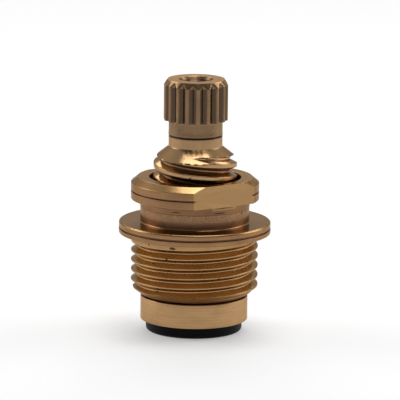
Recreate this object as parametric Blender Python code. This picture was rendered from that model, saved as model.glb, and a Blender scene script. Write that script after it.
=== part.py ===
"""Compression faucet stem: a brass bonnet, the spindle that screws through it, and the washer end.

The axis of the stem is Z. Z = 0 is the underside of the seat washer, and the stem stands fully
raised, as it does with the faucet open: the spindle's shoulder is at its stop inside the bonnet.
The front of the stem faces -Y. Angles round the axis run from +X towards +Y.
All sizes are in metres.
"""

import math

import bmesh
import bpy

MM = 0.001
INCH = 0.0254
FRONT = -math.pi / 2

# Clearances between neighbours.
SEAT_GAP = 0.20 * MM
THREAD_PLAY = 0.13 * MM
BARREL_PLAY = 0.15 * MM
SEAM_GAP = 0.30 * MM
WASHER_PLAY = 0.12 * MM
SCREW_PLAY = 0.15 * MM

# Bonnet: outside, from its lower end up.
BONNET_THREAD_RADIUS = 13 / 16 * INCH / 2
BONNET_THREAD_PITCH = INCH / 16
BONNET_THREAD_CREST = 0.22 * MM
BONNET_THREAD_DEPTH = 0.97 * MM
BONNET_THREAD_LENGTH = 8.80 * MM
BONNET_THREAD_RUNOUT = 0.5 * MM
BONNET_THREAD_FRONT_CREST = 7.48 * MM
BONNET_NOSE_WALL = 1.00 * MM
BONNET_NOSE_HEIGHT = 1.25 * MM
RELIEF_LENGTH = 1.19 * MM
FLANGE_RADIUS = 12.33 * MM
FLANGE_THICKNESS = 1.92 * MM
FLANGE_EDGE = 0.30 * MM
FLANGE_LINE_HEIGHT = 0.90 * MM
FLANGE_LINE_WIDTH = 0.24 * MM
FLANGE_LINE_DEPTH = 0.12 * MM
NECK_WALL = 2.08 * MM
NECK_HEIGHT = 3.69 * MM
RIM_RADIUS = 10.40 * MM
RIM_HEIGHT = 3.59 * MM
RIM_CHAMFER_HEIGHT = 0.88 * MM
RIM_CHAMFER_WIDTH = 1.08 * MM
RIM_LINE_DROP = 2.17 * MM
RIM_LINE_WIDTH = 0.24 * MM
RIM_LINE_DEPTH = 0.14 * MM

# The two wrench flats on the rim.
FLAT_WALL = 1.19 * MM
FLAT_AZIMUTH = math.radians(33.0)
FLAT_BELOW_RIM = 0.20 * MM

# Bonnet: inside. The bore and the mouth are both a step wider than the stem thread.
BORE_STEP = 0.93 * MM
BORE_DEPTH = 8.45 * MM
BORE_CHAMFER = 0.35 * MM
MOUTH_STEP = 0.68 * MM
MOUTH_DEPTH = 3.7 * MM

# Stem thread between spindle and bonnet: left-hand, two starts, twelve to the inch.
STEM_PITCH = INCH / 12
STEM_STARTS = 2
STEM_CREST_RADIUS = 6.77 * MM
STEM_DEPTH = 1.12 * MM
STEM_CREST = 0.63 * MM
STEM_FLANK = math.radians(27.0)
STEM_FRONT_CREST = 28.48 * MM
ROOT_LEFT = 0.95

# Spindle, from the barrel up.
BARREL_CHAMFER = 0.25 * MM
SPINDLE_RELIEF_DEPTH = 0.20 * MM
SPINDLE_RELIEF_LENGTH = 0.90 * MM
SPINDLE_THREAD_LENGTH = 13.50 * MM
SPINDLE_NECK_RADIUS = 4.37 * MM
SHOULDER_ANGLE = math.radians(34.0)
LOWER_NECK_LENGTH = 1.814 * MM
UPPER_NECK_LENGTH = 2.44 * MM
NECK_LINE_WIDTH = 0.22 * MM
NECK_LINE_DEPTH = 0.16 * MM
BROACH_TEETH = 18
BROACH_LENGTH = 6.69 * MM
BROACH_RADIUS = 5.20 * MM
BROACH_ROOT_RADIUS = 4.68 * MM
BROACH_CREST = 0.40 * MM
BROACH_TOP_RADIUS = 4.62 * MM
BROACH_CHAMFER_HEIGHT = 0.92 * MM
BROACH_AZIMUTH = math.radians(4.0)
HANDLE_HOLE_RADIUS = 1.95 * MM
HANDLE_HOLE_DEPTH = 12.0 * MM
HANDLE_SINK_RADIUS = 3.10 * MM
HANDLE_SINK_DEPTH = 1.0 * MM
DRILL_POINT = math.radians(59.0)

# Seal rings on the barrel.
O_RING_GROOVE_DEPTH = 1.25 * MM
O_RING_GROOVE_WIDTH = 2.20 * MM
O_RING_WIDTH = 1.90 * MM
O_RING_CORNERS = 8
O_RING_PLAY = 0.10 * MM
O_RING_SPACING = 2.70 * MM
UPPER_GROOVE_DROP = 1.35 * MM

# Washer holder, its stud, and what joins it to the spindle.
HOLDER_RADIUS = 8.72 * MM
HOLDER_HEIGHT = 3.93 * MM
HOLDER_EDGE = 0.12 * MM
STUD_RADIUS = 3.60 * MM
STUD_LENGTH = 5.90 * MM
STUD_CHAMFER = 0.40 * MM
SOCKET_PLAY = 0.20 * MM
SOCKET_END_ROOM = 0.40 * MM
RING_HEIGHT_ON_STUD = 4.00 * MM
RING_WIRE_RADIUS = 0.50 * MM
RING_PLAY = 0.12 * MM
RING_SPLIT = math.radians(40.0)
RING_WIRE_CORNERS = 6
THRUST_WASHER_STEP = 0.55 * MM
THRUST_WASHER_THICKNESS = 0.80 * MM

# Seat washer and its screw.
WASHER_RADIUS = 7.81 * MM
WASHER_THICKNESS = 3.20 * MM
WASHER_EXPOSED = 1.92 * MM
WASHER_EDGE = 0.55 * MM
SCREW_HEAD_RADIUS = 3.90 * MM
SCREW_HEAD_HEIGHT = 1.25 * MM
SCREW_HEAD_RECESS = 0.40 * MM
SCREW_HEAD_EDGE = 0.35 * MM
SCREW_SHANK_RADIUS = 2.05 * MM
SCREW_LENGTH = 6.20 * MM
SCREW_SLOT_WIDTH = 1.10 * MM
SCREW_SLOT_DEPTH = 0.60 * MM
SCREW_TIP = 0.40 * MM

# Sides of the round shapes.
BONNET_SIDES = 40
SPINDLE_SIDES = 36
RING_SIDES = 32
SCREW_SIDES = 24
SMOOTH_ANGLE = math.radians(32.0)

# Radii that follow from the sizes above.
STEM_ROOT_RADIUS = STEM_CREST_RADIUS - STEM_DEPTH
BORE_RADIUS = STEM_CREST_RADIUS + BORE_STEP
MOUTH_RADIUS = STEM_CREST_RADIUS + MOUTH_STEP
BONNET_NOSE_RADIUS = BORE_RADIUS + BONNET_NOSE_WALL
NECK_RADIUS = STEM_CREST_RADIUS + NECK_WALL
FLAT_DISTANCE = MOUTH_RADIUS + FLAT_WALL
BARREL_RADIUS = BORE_RADIUS - BARREL_PLAY
SPINDLE_RELIEF_RADIUS = STEM_ROOT_RADIUS - SPINDLE_RELIEF_DEPTH
O_RING_GROOVE_FLOOR = BARREL_RADIUS - O_RING_GROOVE_DEPTH
THRUST_WASHER_RADIUS = BARREL_RADIUS - THRUST_WASHER_STEP
SOCKET_RADIUS = STUD_RADIUS + SOCKET_PLAY
SCREW_HOLE_RADIUS = SCREW_SHANK_RADIUS + SCREW_PLAY

# Heights that follow from the sizes above, along the axis.
HOLDER_BASE = WASHER_EXPOSED
HOLDER_TOP = HOLDER_BASE + HOLDER_HEIGHT
CUP_FLOOR = WASHER_THICKNESS + SEAT_GAP
BONNET_BASE = HOLDER_TOP + SEAM_GAP
FLANGE_BASE = BONNET_BASE + BONNET_THREAD_LENGTH + RELIEF_LENGTH
FLANGE_TOP = FLANGE_BASE + FLANGE_THICKNESS
RIM_BASE = FLANGE_TOP + NECK_HEIGHT
BONNET_TOP = RIM_BASE + RIM_HEIGHT
BORE_TOP = BONNET_BASE + BORE_DEPTH
MOUTH_FLOOR = BONNET_TOP - MOUTH_DEPTH
THRUST_BASE = HOLDER_TOP + SEAT_GAP
BARREL_BASE = THRUST_BASE + THRUST_WASHER_THICKNESS + SEAT_GAP
BARREL_TOP = BORE_TOP - SEAT_GAP
UPPER_O_RING = BARREL_TOP - UPPER_GROOVE_DROP
LOWER_O_RING = UPPER_O_RING - O_RING_SPACING
STEM_THREAD_BASE = BARREL_TOP + SPINDLE_RELIEF_LENGTH
SHOULDER_BASE = STEM_THREAD_BASE + SPINDLE_THREAD_LENGTH
SHOULDER_TOP = SHOULDER_BASE + (STEM_CREST_RADIUS - SPINDLE_NECK_RADIUS) * math.tan(SHOULDER_ANGLE)
NECK_LINE = SHOULDER_TOP + LOWER_NECK_LENGTH
BROACH_BASE = NECK_LINE + UPPER_NECK_LENGTH
SPINDLE_TOP = BROACH_BASE + BROACH_LENGTH
STUD_TOP = HOLDER_TOP + STUD_LENGTH
RING_HEIGHT = HOLDER_TOP + RING_HEIGHT_ON_STUD
SOCKET_TOP = STUD_TOP + SOCKET_END_ROOM
SCREW_HEAD_TOP = SCREW_HEAD_RECESS + SCREW_HEAD_HEIGHT
SCREW_TOP = SCREW_HEAD_TOP + SCREW_LENGTH


def angles(sides):
    """Even angles round the axis."""
    return [2 * math.pi * i / sides for i in range(sides)]


def around(vertex):
    """Angle of a vertex round the axis, from 0 up to a full turn."""
    turn = math.atan2(vertex.co.y, vertex.co.x) % (2 * math.pi)
    return 0.0 if turn > 2 * math.pi - 1e-5 else turn


class Turned:
    """A closed skin round the Z axis, built ring by ring from where its profile starts."""

    def __init__(self, sides):
        self.bm = bmesh.new()
        self.sides = sides
        self.last = None

    def ring(self, radius, height, at=None):
        """New vertices on one level circle; radius and height may be lists, one value for each."""
        at = angles(self.sides) if at is None else at
        radii = radius if isinstance(radius, list) else [radius] * len(at)
        heights = height if isinstance(height, list) else [height] * len(at)
        return [
            self.bm.verts.new((r * math.cos(a), r * math.sin(a), z))
            for a, r, z in zip(at, radii, heights)
        ]

    def join(self, lower, upper):
        """Zips two rings together with triangles, or with quads where their counts match."""
        if len(lower) == len(upper):
            for i in range(len(lower)):
                j = (i + 1) % len(lower)
                self.bm.faces.new((lower[i], lower[j], upper[j], upper[i]))
            return
        turn = 2 * math.pi
        a = [around(v) for v in lower] + [turn + around(lower[0])]
        b = [around(v) for v in upper] + [turn + around(upper[0])]
        i = j = 0
        while i < len(lower) or j < len(upper):
            here, there = lower[i % len(lower)], upper[j % len(upper)]
            step_lower = j == len(upper) or (i < len(lower) and a[i + 1] <= b[j + 1])
            if step_lower:
                i += 1
                self.bm.faces.new((here, lower[i % len(lower)], there))
            else:
                j += 1
                self.bm.faces.new((here, upper[j % len(upper)], there))

    def to(self, ring):
        """Carries the skin on to a ring that exists already."""
        if self.last is not None:
            self.join(self.last, ring)
        self.last = ring
        return self

    def line(self, *points):
        """Carries the skin through points of the profile, each a radius and a height."""
        for radius, height in points:
            self.to(self.ring(radius, height))
        return self

    def groove(self, radius, height, width, depth, step=-1):
        """A V groove in a wall, entered from above when step is -1 and from below when it is 1."""
        half = step * width / 2
        return self.line((radius, height - half), (radius - depth, height), (radius, height + half))

    def cap(self, ring=None):
        """Closes the skin over a ring with one flat face."""
        self.bm.faces.new(self.last if ring is None else ring)
        return self

    def point(self, height):
        """Closes the skin with a cone to a point on the axis."""
        tip = self.bm.verts.new((0, 0, height))
        for i, vertex in enumerate(self.last):
            self.bm.faces.new((vertex, self.last[(i + 1) % len(self.last)], tip))
        return self

    def finish(self, name, material):
        """Makes the closed skin an object with its faces out and its round walls smooth."""
        bmesh.ops.recalc_face_normals(self.bm, faces=self.bm.faces)
        mesh = bpy.data.meshes.new(name)
        self.bm.to_mesh(mesh)
        self.bm.free()
        mesh.shade_smooth()
        mesh.set_sharp_from_angle(angle=SMOOTH_ANGLE)
        mesh.materials.append(material)
        obj = bpy.data.objects.new(name, mesh)
        bpy.context.scene.collection.objects.link(obj)
        return obj


class Thread:
    """The form of a screw thread: a ridge whose flanks run in straight lines from crest to root.

    hand is 1 for right-hand and -1 for left-hand. crest_at is the height of a crest's middle at
    the front of the axis. Above runout the groove grows shallow over runout_length and ends.
    """

    def __init__(self, pitch, starts, hand, crest_at, form, runout=None, runout_length=None):
        self.pitch = pitch
        self.lead = pitch * starts
        self.starts = starts
        self.hand = hand
        self.crest_at = crest_at
        self.form = form
        self.runout = runout
        self.runout_length = runout_length
        self.crest = form[0][1]

    def depth_left(self, groove_height):
        """How much of the groove's depth is cut where its middle is at this height."""
        if self.runout is None:
            return 1.0
        share = min(1.0, max(0.0, (self.runout - groove_height) / self.runout_length))
        return math.sin(share * math.pi / 2)

    def skin(self, turned, low, high, envelope):
        """Covers a band of a turned skin with the thread, between two level rings.

        The vertices lie on helices, so that crests and roots are sharp lines: one column for
        each side, and rows that come back a lead higher or lower after a full turn. envelope
        gives the radius from a height and the thread's radius. Returns the two level rings.
        """
        sides = turned.sides
        rows = len(self.form)
        snap = self.pitch / 40
        low_ring = turned.ring(envelope(low, self.crest), low)
        high_ring = turned.ring(envelope(high, self.crest), high)
        made = {}

        def vertex(column, row):
            if column == sides:
                column, row = 0, row + self.hand * self.starts * rows
            key = (column, row)
            if key not in made:
                angle = 2 * math.pi * column / sides
                share, radius = self.form[row % rows]
                middle = self.crest_at + self.pitch * (row // rows)
                middle += self.hand * self.lead * (angle - FRONT) / (2 * math.pi)
                z = middle + share * self.pitch
                if z < low + snap:
                    made[key] = low_ring[column]
                elif z > high - snap:
                    made[key] = high_ring[column]
                else:
                    groove = middle + self.pitch / 2
                    cut = (self.crest - radius) * self.depth_left(groove)
                    r = envelope(z, self.crest - cut)
                    made[key] = turned.bm.verts.new((r * math.cos(angle), r * math.sin(angle), z))
            return made[key]

        first = math.floor((low - self.crest_at) / self.pitch - 2 * self.starts) * rows
        last = math.ceil((high - self.crest_at) / self.pitch + 2 * self.starts) * rows
        for column in range(sides):
            for row in range(first, last):
                corners = (
                    vertex(column, row),
                    vertex(column + 1, row),
                    vertex(column + 1, row + 1),
                    vertex(column, row + 1),
                )
                corners = list(dict.fromkeys(corners))
                if len(corners) > 2:
                    turned.bm.faces.new(corners)
        return low_ring, high_ring


def ridge(pitch, crest_width, crest_radius, root_radius, flank_width):
    """One pitch of a thread's form: shares of the pitch up from the crest's middle, and radii.

    A thread that is deep for its pitch gets steeper flanks, which leave a narrow root.
    """
    room = (pitch - crest_width) / 2
    crest = crest_width / 2 / pitch
    root = crest + min(flank_width, ROOT_LEFT * room) / pitch
    return [
        (crest, crest_radius),
        (root, root_radius),
        (1 - root, root_radius),
        (1 - crest, crest_radius),
    ]


def material(name, colour, roughness, metallic):
    """A plain material in the colour that the piece shows."""
    made = bpy.data.materials.new(name)
    made.use_nodes = True
    shader = made.node_tree.nodes["Principled BSDF"]
    shader.inputs["Base Color"].default_value = (*colour, 1.0)
    shader.inputs["Roughness"].default_value = roughness
    shader.inputs["Metallic"].default_value = metallic
    made.diffuse_color = (*colour, 1.0)
    return made


def cutter(name, size, location, turn):
    """A box that cuts another piece and isn't part of the stem itself."""
    mesh = bpy.data.meshes.new(name)
    bm = bmesh.new()
    bmesh.ops.create_cube(bm, size=1.0)
    bmesh.ops.scale(bm, vec=size, verts=bm.verts)
    bm.to_mesh(mesh)
    bm.free()
    obj = bpy.data.objects.new(name, mesh)
    obj.location = location
    obj.rotation_euler = (0, 0, turn)
    obj.hide_render = True
    obj.display_type = "WIRE"
    bpy.context.scene.collection.objects.link(obj)
    return obj


def cut(obj, tool):
    """Takes a cutter's shape away from a piece."""
    step = obj.modifiers.new(tool.name, "BOOLEAN")
    step.operation = "DIFFERENCE"
    step.solver = "EXACT"
    step.object = tool


def bonnet_outer_thread(skin):
    """The right-hand thread that screws into the faucet body, with a tapered nose below it."""
    low = BONNET_BASE + 0.3 * BONNET_NOSE_HEIGHT
    high = FLANGE_BASE - RELIEF_LENGTH / 2
    slope = (BONNET_THREAD_RADIUS - BONNET_NOSE_RADIUS) / BONNET_NOSE_HEIGHT
    root = BONNET_THREAD_RADIUS - BONNET_THREAD_DEPTH
    flank = BONNET_THREAD_DEPTH * math.tan(math.radians(30))
    form = ridge(BONNET_THREAD_PITCH, BONNET_THREAD_CREST, BONNET_THREAD_RADIUS, root, flank)
    thread = Thread(
        BONNET_THREAD_PITCH,
        1,
        1,
        BONNET_BASE + BONNET_THREAD_FRONT_CREST,
        form,
        FLANGE_BASE - RELIEF_LENGTH,
        BONNET_THREAD_RUNOUT,
    )

    def envelope(z, radius):
        return min(radius, BONNET_NOSE_RADIUS + slope * (z - BONNET_BASE))

    return thread.skin(skin, low, high, envelope)


def bonnet_stem_thread(skin):
    """The left-hand two-start thread inside the bonnet, a clearance larger than the spindle's."""
    crest_radius = STEM_ROOT_RADIUS + THREAD_PLAY
    root_radius = STEM_CREST_RADIUS + THREAD_PLAY
    slope = math.tan(STEM_FLANK)
    half_groove = STEM_CREST / 2 + THREAD_PLAY - THREAD_PLAY * slope
    flank = (root_radius - crest_radius) * slope
    low = BORE_TOP
    high = MOUTH_FLOOR
    form = ridge(STEM_PITCH, 2 * half_groove, root_radius, crest_radius, flank)
    thread = Thread(STEM_PITCH, STEM_STARTS, -1, STEM_FRONT_CREST, form)

    def envelope(z, radius):
        return max(radius, root_radius - min(z - low, high - z))

    return thread.skin(skin, low, high, envelope)


def make_bonnet(brass):
    """The bonnet: thread, flange, neck and rim outside, barrel bore, thread and mouth inside."""
    skin = Turned(BONNET_SIDES)
    nose, relief = bonnet_outer_thread(skin)
    bore_end, mouth_end = bonnet_stem_thread(skin)
    rim_top = BONNET_TOP - RIM_CHAMFER_HEIGHT
    skin.to(bore_end)
    skin.line(
        (BORE_RADIUS, BORE_TOP),
        (BORE_RADIUS, BONNET_BASE + BORE_CHAMFER),
        (BORE_RADIUS + BORE_CHAMFER, BONNET_BASE),
        (BONNET_NOSE_RADIUS, BONNET_BASE),
    )
    skin.to(nose)
    skin.last = relief
    skin.line(
        (BONNET_THREAD_RADIUS, FLANGE_BASE),
        (FLANGE_RADIUS - FLANGE_EDGE / 2, FLANGE_BASE),
        (FLANGE_RADIUS, FLANGE_BASE + FLANGE_EDGE / 2),
    )
    skin.groove(
        FLANGE_RADIUS, FLANGE_BASE + FLANGE_LINE_HEIGHT, FLANGE_LINE_WIDTH, FLANGE_LINE_DEPTH, 1
    )
    skin.line(
        (FLANGE_RADIUS, FLANGE_TOP - FLANGE_EDGE),
        (FLANGE_RADIUS - 0.3 * FLANGE_EDGE, FLANGE_TOP - 0.3 * FLANGE_EDGE),
        (FLANGE_RADIUS - FLANGE_EDGE, FLANGE_TOP),
        (NECK_RADIUS, FLANGE_TOP),
        (NECK_RADIUS, RIM_BASE),
        (RIM_RADIUS, RIM_BASE),
    )
    skin.groove(RIM_RADIUS, BONNET_TOP - RIM_LINE_DROP, RIM_LINE_WIDTH, RIM_LINE_DEPTH, 1)
    skin.line(
        (RIM_RADIUS, rim_top),
        (RIM_RADIUS - RIM_CHAMFER_WIDTH, BONNET_TOP),
        (MOUTH_RADIUS, BONNET_TOP),
        (MOUTH_RADIUS, MOUTH_FLOOR),
    )
    skin.to(mouth_end)
    bonnet = skin.finish("bonnet", brass)
    depth = RIM_RADIUS
    height = RIM_HEIGHT + FLAT_BELOW_RIM + MOUTH_DEPTH
    middle = RIM_BASE - FLAT_BELOW_RIM + height / 2
    for name, side in (("wrench_flat_cut_front", 0.0), ("wrench_flat_cut_back", math.pi)):
        angle = FRONT + FLAT_AZIMUTH + side
        reach = FLAT_DISTANCE + depth / 2
        place = (reach * math.cos(angle), reach * math.sin(angle), middle)
        cut(bonnet, cutter(name, (depth, 4 * RIM_RADIUS, height), place, angle))
    return bonnet


def broach_points():
    """Angles round the broach and which of them are roots: two crest corners and a root a tooth."""
    half = BROACH_CREST / 2 / BROACH_RADIUS
    tooth = 2 * math.pi / BROACH_TEETH
    places = []
    for k in range(BROACH_TEETH):
        middle = FRONT + BROACH_AZIMUTH + k * tooth
        places += [(middle - half, False), (middle + half, False), (middle + tooth / 2, True)]
    return sorted((angle % (2 * math.pi), is_root) for angle, is_root in places)


def spindle_broach(skin):
    """The V-toothed end that the handle pushes on, from its underside up to the screw's hole."""
    places = broach_points()
    at = [angle for angle, _ in places]
    radii = [BROACH_ROOT_RADIUS if is_root else BROACH_RADIUS for _, is_root in places]
    slope = BROACH_CHAMFER_HEIGHT / (BROACH_RADIUS - BROACH_TOP_RADIUS)
    tops = [SPINDLE_TOP - slope * (r - BROACH_TOP_RADIUS) for r in radii]
    skin.to(skin.ring(radii, BROACH_BASE, at))
    skin.to(skin.ring(radii, tops, at))
    skin.line(
        (BROACH_TOP_RADIUS, SPINDLE_TOP),
        (HANDLE_SINK_RADIUS, SPINDLE_TOP),
        (HANDLE_HOLE_RADIUS, SPINDLE_TOP - HANDLE_SINK_DEPTH),
        (HANDLE_HOLE_RADIUS, SPINDLE_TOP - HANDLE_HOLE_DEPTH),
    )
    skin.point(SPINDLE_TOP - HANDLE_HOLE_DEPTH - HANDLE_HOLE_RADIUS / math.tan(DRILL_POINT))


def spindle_thread(skin):
    """The spindle's left-hand two-start thread; its grooves run out on the shoulder's cone."""
    flank = (STEM_CREST_RADIUS - STEM_ROOT_RADIUS) * math.tan(STEM_FLANK)
    form = ridge(STEM_PITCH, STEM_CREST, STEM_CREST_RADIUS, STEM_ROOT_RADIUS, flank)
    thread = Thread(STEM_PITCH, STEM_STARTS, -1, STEM_FRONT_CREST, form)
    cone = math.tan(SHOULDER_ANGLE)
    low = STEM_THREAD_BASE
    high = SHOULDER_TOP - 0.35 * (SHOULDER_TOP - SHOULDER_BASE)

    def envelope(z, radius):
        shoulder = STEM_CREST_RADIUS - (z - SHOULDER_BASE) / cone
        return min(radius, shoulder, SPINDLE_RELIEF_RADIUS + z - low)

    return thread.skin(skin, low, high, envelope)


def make_spindle(brass):
    """The spindle: socket for the holder's stud, barrel with two seal grooves, thread, broach."""
    skin = Turned(SPINDLE_SIDES)
    relief, shoulder = spindle_thread(skin)
    ring_groove = RING_WIRE_RADIUS + RING_PLAY
    ring_reach = STUD_RADIUS + SOCKET_PLAY / 2 + ring_groove
    skin.to(skin.ring(SOCKET_RADIUS, SOCKET_TOP)).cap()
    skin.line(
        (SOCKET_RADIUS, RING_HEIGHT + ring_groove),
        (ring_reach, RING_HEIGHT + ring_groove),
        (ring_reach, RING_HEIGHT - ring_groove),
        (SOCKET_RADIUS, RING_HEIGHT - ring_groove),
        (SOCKET_RADIUS, BARREL_BASE + BARREL_CHAMFER),
        (SOCKET_RADIUS + BARREL_CHAMFER, BARREL_BASE),
        (BARREL_RADIUS - BARREL_CHAMFER, BARREL_BASE),
        (BARREL_RADIUS, BARREL_BASE + BARREL_CHAMFER),
    )
    for height in (LOWER_O_RING, UPPER_O_RING):
        skin.line(
            (BARREL_RADIUS, height - O_RING_GROOVE_WIDTH / 2),
            (O_RING_GROOVE_FLOOR, height - O_RING_GROOVE_WIDTH / 2),
            (O_RING_GROOVE_FLOOR, height + O_RING_GROOVE_WIDTH / 2),
            (BARREL_RADIUS, height + O_RING_GROOVE_WIDTH / 2),
        )
    skin.line(
        (BARREL_RADIUS, BARREL_TOP - BARREL_CHAMFER),
        (BARREL_RADIUS - BARREL_CHAMFER, BARREL_TOP),
        (SPINDLE_RELIEF_RADIUS, BARREL_TOP),
    )
    skin.to(relief)
    skin.last = shoulder
    skin.line((SPINDLE_NECK_RADIUS, SHOULDER_TOP))
    skin.groove(SPINDLE_NECK_RADIUS, NECK_LINE, NECK_LINE_WIDTH, NECK_LINE_DEPTH, 1)
    skin.line((SPINDLE_NECK_RADIUS, BROACH_BASE))
    spindle_broach(skin)
    return skin.finish("spindle", brass)


def make_loop(name, material_used, middle, height, half_width, half_height, corners, split=0.0):
    """A ring of oval section round the axis; split leaves an opening of that angle at the back."""
    skin = Turned(RING_SIDES)
    steps = RING_SIDES if split == 0 else RING_SIDES + 1
    sections = []
    for i in range(steps):
        angle = -FRONT + split / 2 + (2 * math.pi - split) * i / RING_SIDES
        section = []
        for a in angles(corners):
            r = middle + half_width * math.cos(a)
            z = height + half_height * math.sin(a)
            section.append(skin.bm.verts.new((r * math.cos(angle), r * math.sin(angle), z)))
        sections.append(section)
    for before, after in zip(sections, sections[1:]):
        skin.join(before, after)
    if split == 0:
        skin.join(sections[-1], sections[0])
    else:
        skin.cap(sections[0]).cap(sections[-1])
    return skin.finish(name, material_used)


def make_o_ring(name, height, rubber):
    """A seal ring, as it lies squeezed between its groove and the bonnet's bore."""
    inner = O_RING_GROOVE_FLOOR + O_RING_PLAY
    outer = BORE_RADIUS - O_RING_PLAY
    middle = (inner + outer) / 2
    reach = (outer - inner) / 2
    return make_loop(name, rubber, middle, height, reach, O_RING_WIDTH / 2, O_RING_CORNERS)


def make_washer_holder(brass):
    """The holder: a cup for the seat washer, and a tapped stud that turns in the spindle."""
    skin = Turned(SPINDLE_SIDES)
    cup_radius = WASHER_RADIUS + WASHER_PLAY
    groove = RING_WIRE_RADIUS + RING_PLAY
    groove_floor = STUD_RADIUS + SOCKET_PLAY / 2 - groove
    hole_top = SCREW_TOP + SEAT_GAP + SCREW_PLAY
    skin.to(skin.ring(SCREW_HOLE_RADIUS, hole_top)).cap()
    skin.line(
        (SCREW_HOLE_RADIUS, CUP_FLOOR),
        (cup_radius, CUP_FLOOR),
        (cup_radius, HOLDER_BASE),
        (HOLDER_RADIUS - HOLDER_EDGE, HOLDER_BASE),
        (HOLDER_RADIUS, HOLDER_BASE + HOLDER_EDGE),
        (HOLDER_RADIUS, HOLDER_TOP - HOLDER_EDGE),
        (HOLDER_RADIUS - HOLDER_EDGE, HOLDER_TOP),
        (STUD_RADIUS, HOLDER_TOP),
        (STUD_RADIUS, RING_HEIGHT - groove),
        (groove_floor, RING_HEIGHT - groove),
        (groove_floor, RING_HEIGHT + groove),
        (STUD_RADIUS, RING_HEIGHT + groove),
        (STUD_RADIUS, STUD_TOP - STUD_CHAMFER),
        (STUD_RADIUS - STUD_CHAMFER, STUD_TOP),
    )
    return skin.cap().finish("washer_holder", brass)


def make_thrust_washer(bronze):
    """The flat washer that takes the spindle's push on the holder."""
    skin = Turned(SPINDLE_SIDES)
    top = THRUST_BASE + THRUST_WASHER_THICKNESS
    first = skin.ring(SOCKET_RADIUS, THRUST_BASE)
    skin.to(first)
    skin.line((THRUST_WASHER_RADIUS, THRUST_BASE), (THRUST_WASHER_RADIUS, top), (SOCKET_RADIUS, top))
    return skin.to(first).finish("thrust_washer", bronze)


def make_seat_washer(rubber):
    """The rubber washer that closes on the seat, with a recess for the screw's head."""
    skin = Turned(SPINDLE_SIDES)
    head_radius = SCREW_HEAD_RADIUS + SEAT_GAP
    head_top = SCREW_HEAD_TOP + SEAT_GAP
    corner = WASHER_EDGE * (1 - math.sqrt(0.5))
    first = skin.ring(SCREW_HOLE_RADIUS, head_top)
    skin.to(first)
    skin.line(
        (head_radius, head_top),
        (head_radius, 0.0),
        (WASHER_RADIUS - WASHER_EDGE, 0.0),
        (WASHER_RADIUS - corner, corner),
        (WASHER_RADIUS, WASHER_EDGE),
        (WASHER_RADIUS, WASHER_THICKNESS),
        (SCREW_HOLE_RADIUS, WASHER_THICKNESS),
    )
    return skin.to(first).finish("seat_washer", rubber)


def make_seat_washer_screw(brass):
    """The slotted screw that holds the seat washer in its cup."""
    skin = Turned(SCREW_SIDES)
    skin.to(skin.ring(SCREW_HEAD_RADIUS - SCREW_HEAD_EDGE, SCREW_HEAD_RECESS)).cap()
    skin.line(
        (SCREW_HEAD_RADIUS, SCREW_HEAD_RECESS + SCREW_HEAD_EDGE),
        (SCREW_HEAD_RADIUS, SCREW_HEAD_TOP),
        (SCREW_SHANK_RADIUS, SCREW_HEAD_TOP),
        (SCREW_SHANK_RADIUS, SCREW_TOP - SCREW_TIP),
        (SCREW_SHANK_RADIUS - SCREW_TIP, SCREW_TOP),
    )
    screw = skin.cap().finish("seat_washer_screw", brass)
    size = (3 * SCREW_HEAD_RADIUS, SCREW_SLOT_WIDTH, 2 * SCREW_SLOT_DEPTH)
    cut(screw, cutter("screw_slot_cut", size, (0, 0, SCREW_HEAD_RECESS), FLAT_AZIMUTH))
    return screw


def hold(name, pieces):
    """Puts pieces under an empty on the stem's axis, which they turn or slide with."""
    empty = bpy.data.objects.new(name, None)
    empty.empty_display_size = RIM_RADIUS
    bpy.context.scene.collection.objects.link(empty)
    for piece in pieces:
        piece.parent = empty
    return empty


def main():
    for obj in list(bpy.data.objects):
        bpy.data.objects.remove(obj, do_unlink=True)
    bonnet_brass = material("bonnet_brass", (0.36, 0.21, 0.08), 0.38, 1.0)
    spindle_brass = material("spindle_brass", (0.40, 0.24, 0.10), 0.32, 1.0)
    holder_brass = material("holder_brass", (0.46, 0.31, 0.16), 0.42, 1.0)
    screw_brass = material("screw_brass", (0.50, 0.34, 0.14), 0.35, 1.0)
    bronze = material("thrust_bronze", (0.36, 0.20, 0.10), 0.40, 1.0)
    spring_steel = material("ring_steel", (0.45, 0.44, 0.42), 0.30, 1.0)
    washer_rubber = material("washer_rubber", (0.02, 0.02, 0.02), 0.60, 0.0)
    seal_rubber = material("seal_rubber", (0.015, 0.015, 0.015), 0.45, 0.0)

    make_bonnet(bonnet_brass)
    spindle = make_spindle(spindle_brass)
    upper_ring = make_o_ring("o_ring_upper", UPPER_O_RING, seal_rubber)
    lower_ring = make_o_ring("o_ring_lower", LOWER_O_RING, seal_rubber)
    retaining_ring = make_loop(
        "retaining_ring",
        spring_steel,
        STUD_RADIUS + SOCKET_PLAY / 2,
        RING_HEIGHT,
        RING_WIRE_RADIUS,
        RING_WIRE_RADIUS,
        RING_WIRE_CORNERS,
        RING_SPLIT,
    )
    thrust_washer = make_thrust_washer(bronze)
    holder = make_washer_holder(holder_brass)
    seat_washer = make_seat_washer(washer_rubber)
    screw = make_seat_washer_screw(screw_brass)

    travel = hold("stem_travel", [thrust_washer, retaining_ring])
    turning = hold("spindle_turn", [spindle, upper_ring, lower_ring])
    swivel = hold("holder_swivel", [holder, seat_washer, screw])
    turning.parent = travel
    swivel.parent = travel


main()
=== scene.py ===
"""The looks of a brass faucet stem: its turned and threaded surfaces, their finishes and a plain studio.

Lengths are millimetres, as on a maker's drawing, and meshes are made in metres. The stem's axis
is Z, its front faces -Y, and angles round the axis are radians that run from +X towards +Y.
"""

import logging
import math
from dataclasses import dataclass
from enum import Enum
from typing import Callable

import bmesh
import bpy
import numpy as np
from mathutils import Matrix, Vector


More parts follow.
